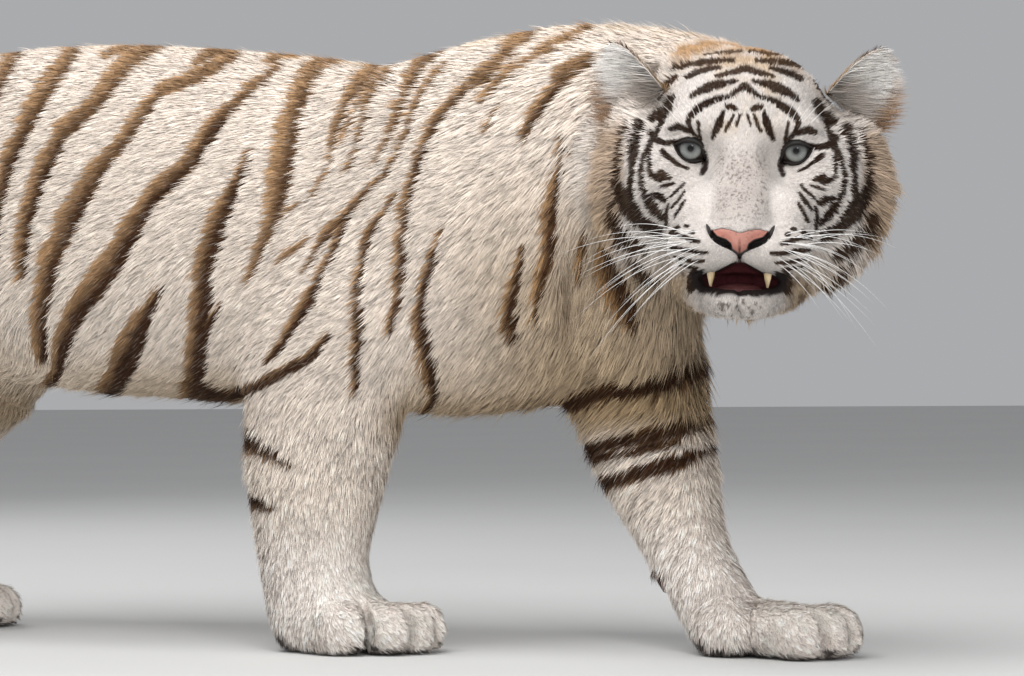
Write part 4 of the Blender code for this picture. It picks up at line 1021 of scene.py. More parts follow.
# The same on the head, as (forward, out, up).
HEAD_FLOW = (
    ((0.098, 0, -0.078), (-0.3, 0, 1), 2.6, 8), ((0.06, 0, -0.055), (-0.7, 0, 0.8), 3, 7),
    ((0.03, 0, -0.03), (-0.7, 0, 0.75), 3.4, 7), ((0.045, 0.028, -0.06), (-0.75, 0.35, 0.5), 3.6, 8),
    ((0.005, 0, 0.005), (-0.3, 0, 1), 4.4, 8), ((-0.005, 0.03, 0.03), (-0.3, 0.15, 0.95), 4.8, 8),
    ((-0.012, 0, 0.06), (-0.5, 0, 0.9), 5.5, 8), ((-0.03, 0.05, 0.07), (-0.6, 0.3, 0.8), 6, 9),
    ((-0.07, 0, 0.11), (-0.9, 0, 0.4), 9, 11), ((-0.09, 0.06, 0.11), (-0.9, 0.3, 0.3), 10, 12),
    ((0, 0.058, 0.03), (-0.35, 0.45, 0.8), 4.5, 9), ((0.002, 0.04, -0.022), (-0.3, 0.3, -0.9), 3.2, 8),
    ((-0.012, 0.085, 0.005), (-0.5, 0.85, 0.15), 5.5, 10), ((0, 0.06, -0.032), (-0.45, 0.8, -0.3), 4.6, 9),
    ((0.05, 0.03, -0.085), (-0.5, 0.8, 0.1), 3.6, 8), ((0.075, 0.04, -0.105), (-0.4, 0.9, -0.15), 3.8, 9),
    ((0.06, 0.055, -0.118), (-0.45, 0.75, -0.5), 5, 12), ((0.085, 0.015, -0.12), (-0.2, 0.6, -0.75), 3.6, 10),
    ((-0.02, 0.095, -0.03), (-0.5, 0.8, -0.3), 9, 14), ((0, 0.07, -0.075), (-0.55, 0.7, -0.45), 7, 13),
    ((-0.03, 0.085, -0.1), (-0.5, 0.6, -0.6), 15, 20), ((-0.06, 0.125, 0.01), (-0.55, 0.8, -0.1), 14, 20),
    ((-0.09, 0.14, 0.04), (-0.6, 0.75, 0.2), 18, 24), ((-0.08, 0.155, -0.03), (-0.45, 0.75, -0.5), 27, 28),
    ((-0.08, 0.135, -0.09), (-0.35, 0.5, -0.8), 31, 28), ((-0.07, 0.09, -0.135), (-0.4, 0.3, -0.85), 30, 27),
    ((-0.07, 0, -0.165), (-0.6, 0, -0.75), 28, 27), ((0, 0.04, -0.165), (-0.5, 0.35, -0.75), 15, 20),
    ((0.065, 0, -0.172), (-0.1, 0, -1), 7, 15), ((0.07, 0.02, -0.16), (0, 0.4, -0.9), 4, 12),
    ((-0.055, 0.095, 0.06), (-0.7, 0.55, 0.5), 9, 14), ((-0.03, 0.085, 0.045), (-0.55, 0.6, 0.55), 7, 12),
    ((-0.17, 0, 0.08), (-1, 0, 0.1), 20, 18), ((-0.17, 0.1, 0.03), (-0.85, 0.35, -0.4), 22, 20),
    ((-0.17, 0.12, -0.06), (-0.6, 0.35, -0.7), 28, 25),
)
TAIL_HAIR = (20, 17)


def flow_at(p, flow, spread):
    """Way, hair length and lift at points as rows of five, mixed from the places near them."""
    total = np.zeros((len(p), 1))
    mean = np.zeros((len(p), 5))
    for place, way, length, lift in flow:
        for side in (1, -1) if place[1] > 0 else (1,):
            gap = np.square(p - np.multiply(place, (1, side, 1))).sum(axis=1)
            weight = 1 / np.square(gap + spread * spread)[:, None]
            mean += weight * (way[0], way[1] * side, way[2], length, lift)
            total += weight
    return np.concatenate([unit(mean[:, :3]), mean[:, 3:] / total], axis=1)


def coat_lie(p, normals):
    """Way along the skin, hair length in metres and lift in radians at body points."""
    x, y, z = p.T
    fore = smoothstep(-0.45, -0.35, x)
    leg = smoothstep(0.36, 0.26, z) * fore + smoothstep(0.46, 0.34, z) * (1 - fore)
    leg = leg * (1 - 0.7 * (smoothstep(0.13, 0.05, np.abs(y)) * smoothstep(0.24, 0.27, z)))
    gap, at, tail_way = along_tail(p)
    tail_lie = np.concatenate([tail_way, np.tile(TAIL_HAIR, (len(p), 1))], axis=1)
    head_lie = flow_at(to_head(p), HEAD_FLOW, 0.016)
    head_lie[:, :3] = head_lie[:, :3] @ HEAD.T
    lie = layered(flow_at(p, BODY_FLOW, 0.055), (
        (flow_at(p, LEG_FLOW, 0.035), leg),
        (tail_lie, smoothstep(0.08, 0.06, gap) * smoothstep(0.02, 0.08, at)),
        (head_lie, head_share(p))))
    return unit(along_skin(lie[:, :3], normals)), lie[:, 3] * MM, np.radians(lie[:, 4])


def clumps(p, size, seed):
    """The nearest clump centre to each point, and a number from 0 to 1 for that clump."""
    base = np.floor(p / size).astype(np.int64)
    best = np.full(len(p), np.inf)
    centre = np.zeros_like(p)
    mark = np.zeros(len(p))
    for step in np.ndindex(3, 3, 3):
        cell = base + step - 1
        place = (cell + np.stack([lattice(cell, seed + k) for k in range(3)], axis=1)) * size
        gap = np.square(place - p).sum(axis=1)
        closer = gap < best
        best[closer] = gap[closer]
        centre[closer] = place[closer]
        mark[closer] = lattice(cell[closer], seed + 3)
    return centre, mark


def coat_density(p, ear):
    """Tufts for each square metre at body points."""
    share = head_share(p)
    x, y, z = p.T
    density = 210e3 + 20e3 * smoothstep(0.30, 0.15, z) + 90e3 * smoothstep(0.08, 0.05, z)
    density = density * (1 - 0.34 * smoothstep(-0.02, 0.05, y) * (1 - share))
    density = density * (1 - 0.35 * smoothstep(-0.40, -0.50, x))
    density = density * (1 - 0.7 * smoothstep(0.012, 0.004, z))
    density = density + (270e3 - density) * share
    density = density + (640e3 - density) * (share * smoothstep(-0.07, -0.02, to_head(p)[:, 0]))
    return np.where(ear, 330e3, density)


def bare(h):
    """Where no hair grows: eyes, nose, lips and the inside of the mouth."""
    forward, out, up = h[:, 0], np.abs(h[:, 1]), h[:, 2]
    top, bottom = nose_edges(out)
    nose = (forward > 0.066) & (out < NOSE_HALF_WIDTH) & (up < top - 0.0008) & (up > bottom + 0.0010)
    gap = mouth_gap(h)
    lower = (up < -0.146) & (out < 0.050) & (gap < 0.0068)
    corner = (out > 0.037) & (gap < 0.0040)
    return in_lids(h, 1.06) | nose | ((gap < 0.0012) | lower | corner) & (forward > -0.03)


# The nose leather's edge on one side: out from the middle, its upper and its lower edge.
NOSE_HALF_WIDTH = 0.0378
NOSE_OUTLINE = ((0.0000, -0.0922, -0.1228), (0.0016, -0.0921, -0.1208), (0.0030, -0.0918, -0.1165),
                (0.0060, -0.0907, -0.1140), (0.0127, -0.0886, -0.1104), (0.0209, -0.0878, -0.1070),
                (0.0276, -0.0892, -0.1032), (0.0316, -0.0888, -0.0994), (0.0345, -0.0846, -0.0944),
                (0.0365, -0.0822, -0.0886), (0.0378, -0.0818, -0.0840))
# The line under the pink, over the nostril: out and up.
PINK_EDGE = ((0.0, -0.1150), (0.0075, -0.1100), (0.0092, -0.1040), (0.0150, -0.0993), (0.0245, -0.0962),
             (0.0280, -0.0925), (0.0310, -0.0880), (0.0400, -0.0780))


def nose_edges(out):
    """The upper and the lower edge of the nose leather at distances from the middle."""
    line = np.array(NOSE_OUTLINE)
    return np.interp(out, line[:, 0], line[:, 1]), np.interp(out, line[:, 0], line[:, 2])


def scatter(mesh, scale, rng, ear_faces):
    """Roots of the tufts: place, normal and whether it is on an ear."""
    mesh.calc_loop_triangles()
    corners = values(mesh.loop_triangles, "vertices", 3, np.int64)
    ear = values(mesh.loop_triangles, "polygon_index", 1, np.int64)[:, 0] >= ear_faces
    co = points_of(mesh) - SHIFT
    a, b, c = (co[corners[:, k]] for k in range(3))
    area = np.linalg.norm(np.cross(b - a, c - a), axis=1) / 2
    expected = area * coat_density((a + b + c) / 3, ear) * scale
    count = np.floor(expected + rng.random(len(expected))).astype(np.int64)
    chosen = np.repeat(np.arange(len(count)), count)
    u = rng.random(len(chosen))
    v = rng.random(len(chosen))
    flip = u + v > 1
    u[flip], v[flip] = 1 - u[flip], 1 - v[flip]
    u, v, w = u[:, None], v[:, None], (1 - u - v)[:, None]
    root = a[chosen] * w + b[chosen] * u + c[chosen] * v
    normals = normals_of(mesh)
    n0, n1, n2 = (normals[corners[chosen, k]] for k in range(3))
    normal = unit(n0 * w + n1 * u + n2 * v)
    keep = ear[chosen] | ~bare(to_head(root))
    keep &= (root[:, 2] > 0.0035) & (carpal_pad(root) < 0.6)
    return root[keep], normal[keep], ear[chosen][keep]


def ear_lie(root, normal):
    """Way, length and lift of tufts on the ears, whether each is inside, and its place up and across."""
    h = to_head(root)
    way = np.zeros_like(root)
    inside = np.zeros(len(root), dtype=bool)
    along, across = np.zeros((2, len(root)))
    for side in SIDES:
        own = np.sign(h[:, 1]) == side
        start, tip, face, cross = ear_ways(side)
        inside[own] = ((normal @ HEAD)[own] @ face) > 0.0
        along[own] = (h[own] - start) @ tip
        across[own] = (h[own] - start) @ cross * side
        outward = tip * 0.75 - cross * side * 0.9 + face * 0.35
        way[own] = np.where(inside[own][:, None], outward, tip)
    way = unit(along_skin(way @ HEAD.T, normal))
    high = smoothstep(0.0, 0.07, along)
    length = np.where(inside, 0.028 - 0.014 * high, 0.012 - 0.004 * high)
    lift = np.where(inside, 0.55 - 0.25 * high, 0.26)
    return way, length, lift, inside, along, across


def ear_colour(inside, along, across):
    """The colour of tufts on the ears: pale inside, dark with a pale spot on the back."""
    edge = smoothstep(0.012, 0.030, -across + 0.35 * smoothstep(0.040, 0.062, along) * 0.06)
    front = layered((0.88, 0.845, 0.800), (
        # low in the cup the inner hair is painted greyer: a painted shade in the ear's hollow
        ((0.55, 0.49, 0.44), smoothstep(0.016, -0.010, along)),
        ((0.30, 0.17, 0.085), 0.85 * edge)))
    back = layered((0.16, 0.085, 0.045), (
        ((0.50, 0.34, 0.19), smoothstep(0.045, 0.015, along)),
        ((0.78, 0.72, 0.64), smoothstep(0.017, 0.011, np.hypot(along - 0.036, across)))))
    return np.where(inside[:, None], front, back)


def region_of(p, ear):
    """The coat piece each root belongs to."""
    x, y, z = p.T
    gap, at, _ = along_tail(p)
    head = head_share(p) > 0.5
    names = np.full(len(p), "trunk_right", dtype=object)
    names[y > 0] = "trunk_left"
    names[x > 0.14] = "chest"
    low = z < np.where(x > 0.15, 0.33, np.where(x > -0.45, 0.27, 0.36))
    names[low & (x > -0.30) & ((np.abs(y) > 0.05) | (z < 0.25) | (x > 0.2))
          & ((x < 0.10) | (x > 0.20) | (z < 0.25))] = "forelegs"
    names[low & (x < -0.50)] = "hindlegs"
    names[(at > 0.05) & (gap < 0.07)] = "tail"
    names[head] = "ruff"
    names[head & (to_head(p)[:, 0] > -0.052)] = "face"
    names[ear] = "ears"
    return names


CLUMP_SIZE = {"trunk_right": 0.0085, "trunk_left": 0.0085, "chest": 0.011, "forelegs": 0.0085,
              "hindlegs": 0.0085, "tail": 0.009, "ruff": 0.011, "face": 0.0042, "ears": 0.006}


def unwrap(name, p, normal):
    """Each root's place on an unwrap of the skin of that piece, from 0 to 1."""
    h = to_head(p)
    if name in ("trunk_right", "trunk_left", "chest"):
        # round the body's long axis
        u, v = p[:, 0], np.arctan2(p[:, 1], 0.50 - p[:, 2] + 1e-6)
    elif name in ("forelegs", "hindlegs"):
        # round each leg, with the left one beside the right one
        right, left = FEET[:2] if name == "forelegs" else FEET[2:]
        on_left = p[:, 0] > 0.15 if name == "forelegs" else p[:, 1] > 0
        x = np.where(on_left, left[0], right[0])
        y = np.where(on_left, left[1], right[1])
        lean = np.where(on_left & (name == "forelegs"), -0.42, -0.12) * p[:, 2]
        u = np.arctan2(p[:, 1] - y, p[:, 0] - x - lean) + np.where(on_left, 6.5, 0.0)
        v = p[:, 2]
    elif name == "tail":
        _, at, way = along_tail(p)
        across = unit(np.cross(way, (0, 1.0, 0)))
        u, v = at, np.arctan2(normal[:, 1], (normal * across).sum(axis=1))
    elif name == "ears":
        inside = (normal @ HEAD)[:, 0] > 0
        u = h[:, 1] + np.where(h[:, 1] > 0, -0.05, 0.05)
        v = h[:, 2] + np.where(inside, 0.12, 0)
    else:
        q = unit(h - (-0.075, 0, -0.02))
        polar = np.arccos(np.clip(q[:, 0], -1, 1))
        spin = np.arctan2(q[:, 2], q[:, 1])
        u, v = polar * np.cos(spin), polar * np.sin(spin)
    margin = 0.01
    spread = np.stack([u, v], axis=1)
    low, high = spread.min(axis=0), spread.max(axis=0)
    return margin + (spread - low) / (high - low) * (1 - 2 * margin)


# The shape of a tuft: how far its root is sunk, its bend, its width at the bend, and how its points are joined.
ROOT_SUNK = 0.25 * MM
BEND = (1.30, 0.62)
TAPER = 0.72
TUFT_FACES = np.array((0, 1, 3, 0, 3, 2, 2, 3, 4))
TURNED_FACES = np.array((1, 0, 3, 3, 0, 2, 3, 2, 4))
# The tuft's place on its patch of the unwrap.
TUFT_PATCH = np.array(((-0.5, -0.5), (0.5, -0.5), (-0.35, 0.1), (0.35, 0.1), (0.0, 0.5))) * 0.0028
GUARD_SHARE = 0.05
LOWEST_HAIR = 0.0004


def coat_piece(name, region, root, normal, way, length, lift, width, colour, cover, rng):
    """One piece of the coat: bent, tapering tufts of three faces each, drawn together in clumps."""
    n = len(root)
    size = CLUMP_SIZE[region]
    centre, mark = clumps(root, size, 50)
    small, small_mark = clumps(root, size * 0.42, 60)
    swing = (0.22 * (mark - 0.5) + 0.10 * rng.standard_normal(n))[:, None]
    way = way * np.cos(swing) + np.cross(normal, way) * np.sin(swing)
    side = np.cross(normal, way)
    guard = rng.random(n) < GUARD_SHARE
    length = length * (0.80 + 0.36 * mark) * (0.80 + 0.34 * rng.random(n)) * np.where(guard, 1.35, 1.0)
    lift = lift * (0.75 + 0.5 * small_mark) * (0.75 + 0.5 * rng.random(n)) + np.where(guard, 0.12, 0.0)
    width = width * (0.75 + 0.5 * rng.random(n)) * np.where(guard, 0.55, 1.0)
    base = root - normal * ROOT_SUNK
    line = [base]
    for bend in BEND:
        angle = (lift * bend)[:, None]
        line.append(line[-1] + length[:, None] * 0.5 * (way * np.cos(angle) + normal * np.sin(angle)))
    _, middle, tip = line
    for target, amount in ((centre, 0.34), (small, 0.30)):
        pull = along_skin(target - root, normal)
        tip = tip + amount * pull
        middle = middle + 0.35 * amount * pull
    roll = (0.55 * (rng.random(n) - 0.5) * 2)[:, None]
    half = (side * np.cos(roll) + normal * np.sin(roll)) * (width / 2)[:, None]
    points = np.stack([base - half, base + half, middle - half * TAPER, middle + half * TAPER, tip], axis=1)
    points = points + SHIFT
    points[:, :, 2] = np.maximum(points[:, :, 2], LOWEST_HAIR)
    # Each tuft's lightness varies at random with its clumps and itself; tufts at a clump's edge are painted
    # darker, a painted shade between the clumps.
    edge = smoothstep(0.22, 0.62, np.linalg.norm(root - centre, axis=1) / size)
    light = 1.0 + 0.20 * (mark - 0.5) + 0.20 * (small_mark - 0.5) + 0.30 * (rng.random(n) - 0.5) - 0.14 * edge
    # On the legs the tufts are a little lighter, and their differences, painted shade included, are stronger.
    if "legs" in region:
        light = 1.05 + 1.4 * (light - 1.0)
    lit = colour * light[:, None]
    # Darker roots and bends and lighter tips: partly the hairs' own greyer roots, partly painted shade in the
    # gaps between the tufts, with less of it in the markings.
    shaded_root, shaded_bend = lit * (0.55 + 0.30 * cover)[:, None], lit * 0.95
    colours = np.clip(np.stack([shaded_root, shaded_root, shaded_bend, shaded_bend, lit * 1.09], axis=1), 0.003, 0.96)
    own = unit(np.cross(side, tip - base))
    own = np.where(((own * normal).sum(axis=1) < 0)[:, None], -own, own)
    shade = unit(0.62 * normal + 0.38 * own)
    away = (np.cross(points[:, 1] - points[:, 0], points[:, 3] - points[:, 0]) * normal).sum(axis=1) < 0
    corner = (np.arange(n)[:, None] * 5 + np.where(away[:, None], TURNED_FACES, TUFT_FACES)).ravel()
    mesh = bpy.data.meshes.new("coat-" + name)
    mesh.vertices.add(n * 5)
    mesh.vertices.foreach_set("co", points.ravel())
    mesh.loops.add(n * 9)
    mesh.loops.foreach_set("vertex_index", corner.astype(np.int32))
    mesh.polygons.add(n * 3)
    mesh.polygons.foreach_set("loop_start", np.arange(0, n * 9, 3, dtype=np.int32))
    mesh.update(calc_edges=True)
    set_colours(mesh, colours.reshape(-1, 3))
    place = unwrap(region, root, normal)[:, None, :] + TUFT_PATCH
    uv = mesh.uv_layers.new(name="OFBake")
    uv.data.foreach_set("uv", place.reshape(-1, 2)[corner].astype(np.float32).ravel())
    mesh.normals_split_custom_set_from_vertices(np.repeat(shade, 5, axis=0).astype(np.float32))
    mesh.validate()
    return new_object("coat-" + name, mesh)


COAT_PIECE_TUFTS = 63000


def build_coat():
    """The whole coat, as pieces with fewer than 200,000 faces each."""
    rng = np.random.default_rng(7)
    root, normal, ear = scatter(skin.data, 1.0, rng, skin["ear_faces"])
    way, length, lift = coat_lie(root, normal)
    ear_way, ear_length, ear_lift, inside, along, across = ear_lie(root, normal)
    way = np.where(ear[:, None], ear_way, way)
    length = np.where(ear, ear_length, length) * (1 - 0.5 * toe_cleft(root)[0])
    lift = np.where(ear, ear_lift, lift)
    width = np.where(ear, 0.0008, 0.00062 + 0.046 * length) * 1.0
    choice = rng.random(len(root)) * 2 - 1
    colour, cover = coat_colour(root + way * (0.20 * length)[:, None], choice)
    colour = np.where(ear[:, None], ear_colour(inside, along, across), colour)
    names = region_of(root, ear)
    pieces = []
    for region in sorted(set(names)):
        chosen = np.flatnonzero(names == region)
        parts = max(1, math.ceil(len(chosen) / COAT_PIECE_TUFTS))
        order = chosen[np.argsort(root[chosen, 0], kind="stable")]
        for number, own in enumerate(np.array_split(order, parts)):
            name = region if parts == 1 else f"{region}-{number + 1}"
            tufts = (part[own] for part in (root, normal, way, length, lift, width, colour, cover))
            pieces.append(coat_piece(name, region, *tufts, rng))
    return pieces


# ---------------------------------------------------------------- materials
def node(tree, kind, **values):
    made = tree.nodes.new(kind)
    for name, value in values.items():
        setattr(made, name, value)
    return made


def new_material(name, **sockets):
    material = bpy.data.materials.new(name)
    material.use_nodes = True
    shader = material.node_tree.nodes["Principled BSDF"]
    for socket, value in sockets.items():
        shader.inputs[socket.replace("_", " ")].default_value = value
    return material, material.node_tree, shader


def noise_between(tree, scale, low, high, detail=2.0):
    """A procedural noise in object space, spread between two values."""
    place = node(tree, "ShaderNodeTexCoord")
    pattern = node(tree, "ShaderNodeTexNoise")
    spread = node(tree, "ShaderNodeMapRange")
    for made, name, value in ((pattern, "Scale", scale), (pattern, "Detail", detail), (spread, "From Min", 0.3),
                              (spread, "From Max", 0.7), (spread, "To Min", low), (spread, "To Max", high)):
        made.inputs[name].default_value = value
    tree.links.new(place.outputs["Object"], pattern.inputs["Vector"])
    tree.links.new(pattern.outputs["Fac"], spread.inputs["Value"])
    return spread.outputs["Result"]


def add_bump(tree, shader, height, distance):
    bump = node(tree, "ShaderNodeBump")
    bump.inputs["Distance"].default_value = distance
    bump.inputs["Strength"].default_value = 1.0
    tree.links.new(height, bump.inputs["Height"])
    tree.links.new(bump.outputs["Normal"], shader.inputs["Normal"])


def surface(name, colour, shade, bump=None, **sockets):
    """A material of one colour, or with None of the mesh's own colours, varied by a noise. A bump is a noise
    and its height."""
    material, tree, shader = new_material(name, **sockets)
    multiply = node(tree, "ShaderNodeMix", data_type="RGBA", blend_type="MULTIPLY")
    multiply.inputs["Factor"].default_value = 1.0
    if colour is None:
        source = node(tree, "ShaderNodeAttribute", attribute_name=COLOURS)
        tree.links.new(source.outputs["Color"], multiply.inputs["A"])
    else:
        multiply.inputs["A"].default_value = (*colour, 1)
    tree.links.new(noise_between(tree, *shade), multiply.inputs["B"])
    tree.links.new(multiply.outputs["Result"], shader.inputs["Base Color"])
    if bump:
        add_bump(tree, shader, noise_between(tree, *bump[0]), bump[1])
    return material


def wet(name, colour, scale, height, **sockets):
    """A moist or glossy surface with a pebbled bump."""
    return surface(name, colour, (scale * 0.25, 0.75, 1.2, 3.0), ((scale, 0.0, 1.0), height),
                   Coat_Roughness=0.12, **sockets)


def set_material(thing, material, smooth=True):
    thing.data.materials.clear()
    thing.data.materials.append(material)
    if smooth:
        thing.data.polygons.foreach_set("use_smooth", [True] * len(thing.data.polygons))


def set_colours(mesh, colours):
    layer = mesh.color_attributes.new(COLOURS, "FLOAT_COLOR", "POINT")
    full = np.concatenate([colours, np.ones((len(colours), 1))], axis=1)
    layer.data.foreach_set("color", full.astype(np.float32).ravel())


def mesh_from(name, points, faces):
    """A mesh object from head points."""
    mesh = mesh_of(name, (from_head(np.array(points)) + SHIFT).tolist(), faces)
    edit(mesh, lambda work: bmesh.ops.recalc_face_normals(work, faces=work.faces))
    mesh.update()
    return new_object(name, mesh)


# ---------------------------------------------------------------- eyes, nose, mouth and whiskers
CORNEA = 0.0012
IRIS_ANGLE, PUPIL_ANGLE, BALL_ANGLE = (math.radians(angle) for angle in (38.5, 10.0, 120.0))
PUPIL_BLACK = (0.004, 0.004, 0.005)
IRIS_BLUE = (0.250, 0.262, 0.250)
EYE_RIM_BROWN = (0.022, 0.017, 0.015)


def build_eye(side):
    """An eyeball with a clear bulge over the iris, looking at the viewer."""
    middle = eye_middle(side)
    gaze = unit(np.array(FACE_CHART) - middle)
    left = unit(np.cross((0, 0, 1.0), gaze))
    up = np.cross(gaze, left)
    rings, spokes = 60, 96
    points, faces, colours = [middle + gaze * (EYE_RADIUS + CORNEA)], [], [PUPIL_BLACK]
    fibre = np.random.default_rng(3).random((2, spokes))
    for i in range(1, rings + 1):
        angle = BALL_ANGLE * i / rings
        depth = (angle - PUPIL_ANGLE) / (IRIS_ANGLE - PUPIL_ANGLE)
        bulge = CORNEA * float(smoothstep(math.radians(46.0), math.radians(8.0), angle))
        for j in range(spokes):
            spin = 2 * math.pi * j / spokes
            way = gaze * math.cos(angle) + (left * math.cos(spin) + up * math.sin(spin)) * math.sin(angle)
            points.append(middle + way * (EYE_RADIUS + bulge))
            grain = 0.84 + 0.26 * fibre[0, j] * (0.6 + 0.4 * math.sin(7 * depth + 6 * fibre[1, j]))
            colour = np.array(IRIS_BLUE) * grain
            colour = colour * (1 - 0.60 * float(smoothstep(0.42, 0.0, depth)))
            colour = colour * (1 - 0.50 * float(smoothstep(0.70, 0.98, depth)))
            colour = colour * float(smoothstep(-0.04, 0.06, depth)) + 0.004
            # The iris is painted darker towards its top: a painted shadow of the upper lid.
            high = EYE_RADIUS * math.sin(angle) * math.sin(spin)
            colour = colour * (1 - 0.85 * float(smoothstep(-0.006, 0.008, high)))
            rim = float(smoothstep(0.97, 1.05, depth))
            colours.append(tuple(colour + (np.array(EYE_RIM_BROWN) - colour) * rim))
    for j in range(spokes):
        faces.append((0, 1 + j, 1 + (j + 1) % spokes))
    for i in range(rings - 1):
        for j in range(spokes):
            a, b = 1 + i * spokes + j, 1 + i * spokes + (j + 1) % spokes
            faces.append((a, a + spokes, b + spokes, b))
    faces.append(tuple(1 + (rings - 1) * spokes + j for j in range(spokes)))
    eye = mesh_from("eyeball-" + ("left" if side > 0 else "right"), points, faces)
    set_colours(eye.data, np.array(colours))
    return eye


def closed_curve(outline, steps):
    """A smooth closed line through the outline's points."""
    result = []
    for k in range(len(outline)):
        a, b, c, d = (outline[(k + m) % len(outline)] for m in (-1, 0, 1, 2))
        for s in range(steps):
            t = s / steps
            result.append(0.5 * (2 * b + (c - a) * t + (2 * a - 5 * b + 4 * c - d) * t * t
                                 + (3 * b - a - 3 * c + d) * t ** 3))
    return np.array(result)


def tube(line, radii, sides, closed=False):
    """Points and faces of a tube round a line of points."""
    line = np.asarray(line)
    n = len(line)
    points, faces = [], []
    reference = np.array((0.31, 0.17, 0.93))
    for i in range(n):
        before, after = ((i - 1) % n, (i + 1) % n) if closed else (max(i - 1, 0), min(i + 1, n - 1))
        way = unit(line[after] - line[before])
        first = unit(np.cross(way, reference))
        second = np.cross(way, first)
        for k in range(sides):
            spin = 2 * math.pi * k / sides
            points.append(line[i] + radii[i] * (first * math.cos(spin) + second * math.sin(spin)))
    for i in range(n if closed else n - 1):
        for k in range(sides):
            a, b = i * sides + k, i * sides + (k + 1) % sides
            c, d = (i + 1) % n * sides + k, (i + 1) % n * sides + (k + 1) % sides
            faces.append((a, b, d, c))
    if not closed:
        faces.append(tuple(range(sides)))
        faces.append(tuple((n - 1) * sides + k for k in range(sides)))
    return points, faces


def build_lid_rims():
    """The bare dark rims of the lids, lying on the eyeballs."""
    points, faces = [], []
    for side in SIDES:
        curve = closed_curve(ALMOND, 5)
        forward = np.sqrt(np.maximum((EYE_RADIUS + 0.0021) ** 2 - np.square(curve).sum(axis=1), 1e-6))
        line = eye_middle(side) + np.stack([forward, curve[:, 0] * side, curve[:, 1]], axis=1)
        thick = 0.0010 + 0.0002 * smoothstep(-0.004, 0.003, curve[:, 1])
        curve[:, 1] -= 0.0005 * smoothstep(-0.002, 0.003, curve[:, 1])
        more, quads = tube(line, thick, 8, closed=True)
        faces += [tuple(k + len(points) for k in quad) for quad in quads]
        points += more
    return mesh_from("lid_rims", points, faces)


def front_of(out, up):
    """How far forward the head's form reaches at face places."""
    step = np.linspace(0.13, -0.06, 96)
    near = np.full(len(out), step[-1])
    far = np.full(len(out), step[0])
    found = np.zeros(len(out), dtype=bool)
    for a, b in zip(step[:-1], step[1:]):
        value = head_distance(np.stack([np.full(len(out), b), out, up], axis=1))
        hit = (value < 0) & ~found
        near[hit], far[hit] = b, a
        found |= hit
    for _ in range(14):
        mid = (near + far) / 2
        value = head_distance(np.stack([mid, out, up], axis=1))
        near = np.where(value < 0, mid, near)
        far = np.where(value < 0, far, mid)
    return (near + far) / 2


NOSE_PINK = (0.46, 0.185, 0.140)
NOSE_PALE = (0.55, 0.255, 0.200)
NOSE_BLACK = (0.016, 0.011, 0.010)


def build_nose():
    """The nose leather: a domed pad with two comma-shaped nostrils and a middle groove."""
    rows, columns = 44, 128
    share = np.linspace(-1, 1, columns + 1)
    across = np.sign(share) * np.abs(share) ** 1.25 * NOSE_HALF_WIDTH
    down = np.linspace(0, 1, rows + 1)
    w, t = np.meshgrid(across, down, indexing="ij")
    out, t = w.ravel(), t.ravel()
    side = np.abs(out)
    top, bottom = nose_edges(side)
    u = top + (bottom - top) * t
    base = front_of(out, u)
    rim = np.minimum(np.minimum(u - bottom, top - u), NOSE_HALF_WIDTH - side)
    pink_line = np.array(PINK_EDGE)
    under = np.interp(side, pink_line[:, 0], pink_line[:, 1]) - u
    opening = np.minimum(under, u - bottom)
    hole = smoothstep(0.0006, 0.0026, opening) * smoothstep(0.008, 0.012, side) * smoothstep(0.034, 0.028, side)
    dome = 0.0042 * smoothstep(-0.001, 0.008, rim + 0.5 * np.maximum(-under, 0))
    dome = dome - 0.0012 * smoothstep(0.0008, 0.0, rim)
    groove = np.exp(-np.square(out / 0.0012)) * smoothstep(-0.097, -0.104, u)
    forward = base + dome - 0.0100 * hole - 0.0022 * groove
    points = np.stack([forward, out, u], axis=1)
    black = np.max([smoothstep(-0.0010, 0.0004, under), 0.85 * smoothstep(0.0010, 0.0003, rim),
                    0.8 * groove * smoothstep(-0.104, -0.110, u),
                    0.35 * smoothstep(0.5, 0.8, noise(points, 0.0022, 71))], axis=0)
    nose = mesh_from("nose_leather", points, grid_faces(columns, rows))
    pale = smoothstep(-0.004, -0.010, under)
    set_colours(nose.data, layered(NOSE_PINK, ((NOSE_PALE, pale), (NOSE_BLACK, black))))
    return nose


def at_front(side, out, up):
    """The place on the front of the head's form where a hair is rooted."""
    forward = front_of(np.array((side * out,)), np.array((up,)))[0]
    return np.array((forward - 0.001, side * out, up))


WHISKERS_ON_A_SIDE = 26
BROW_HAIRS_ON_A_SIDE = 5


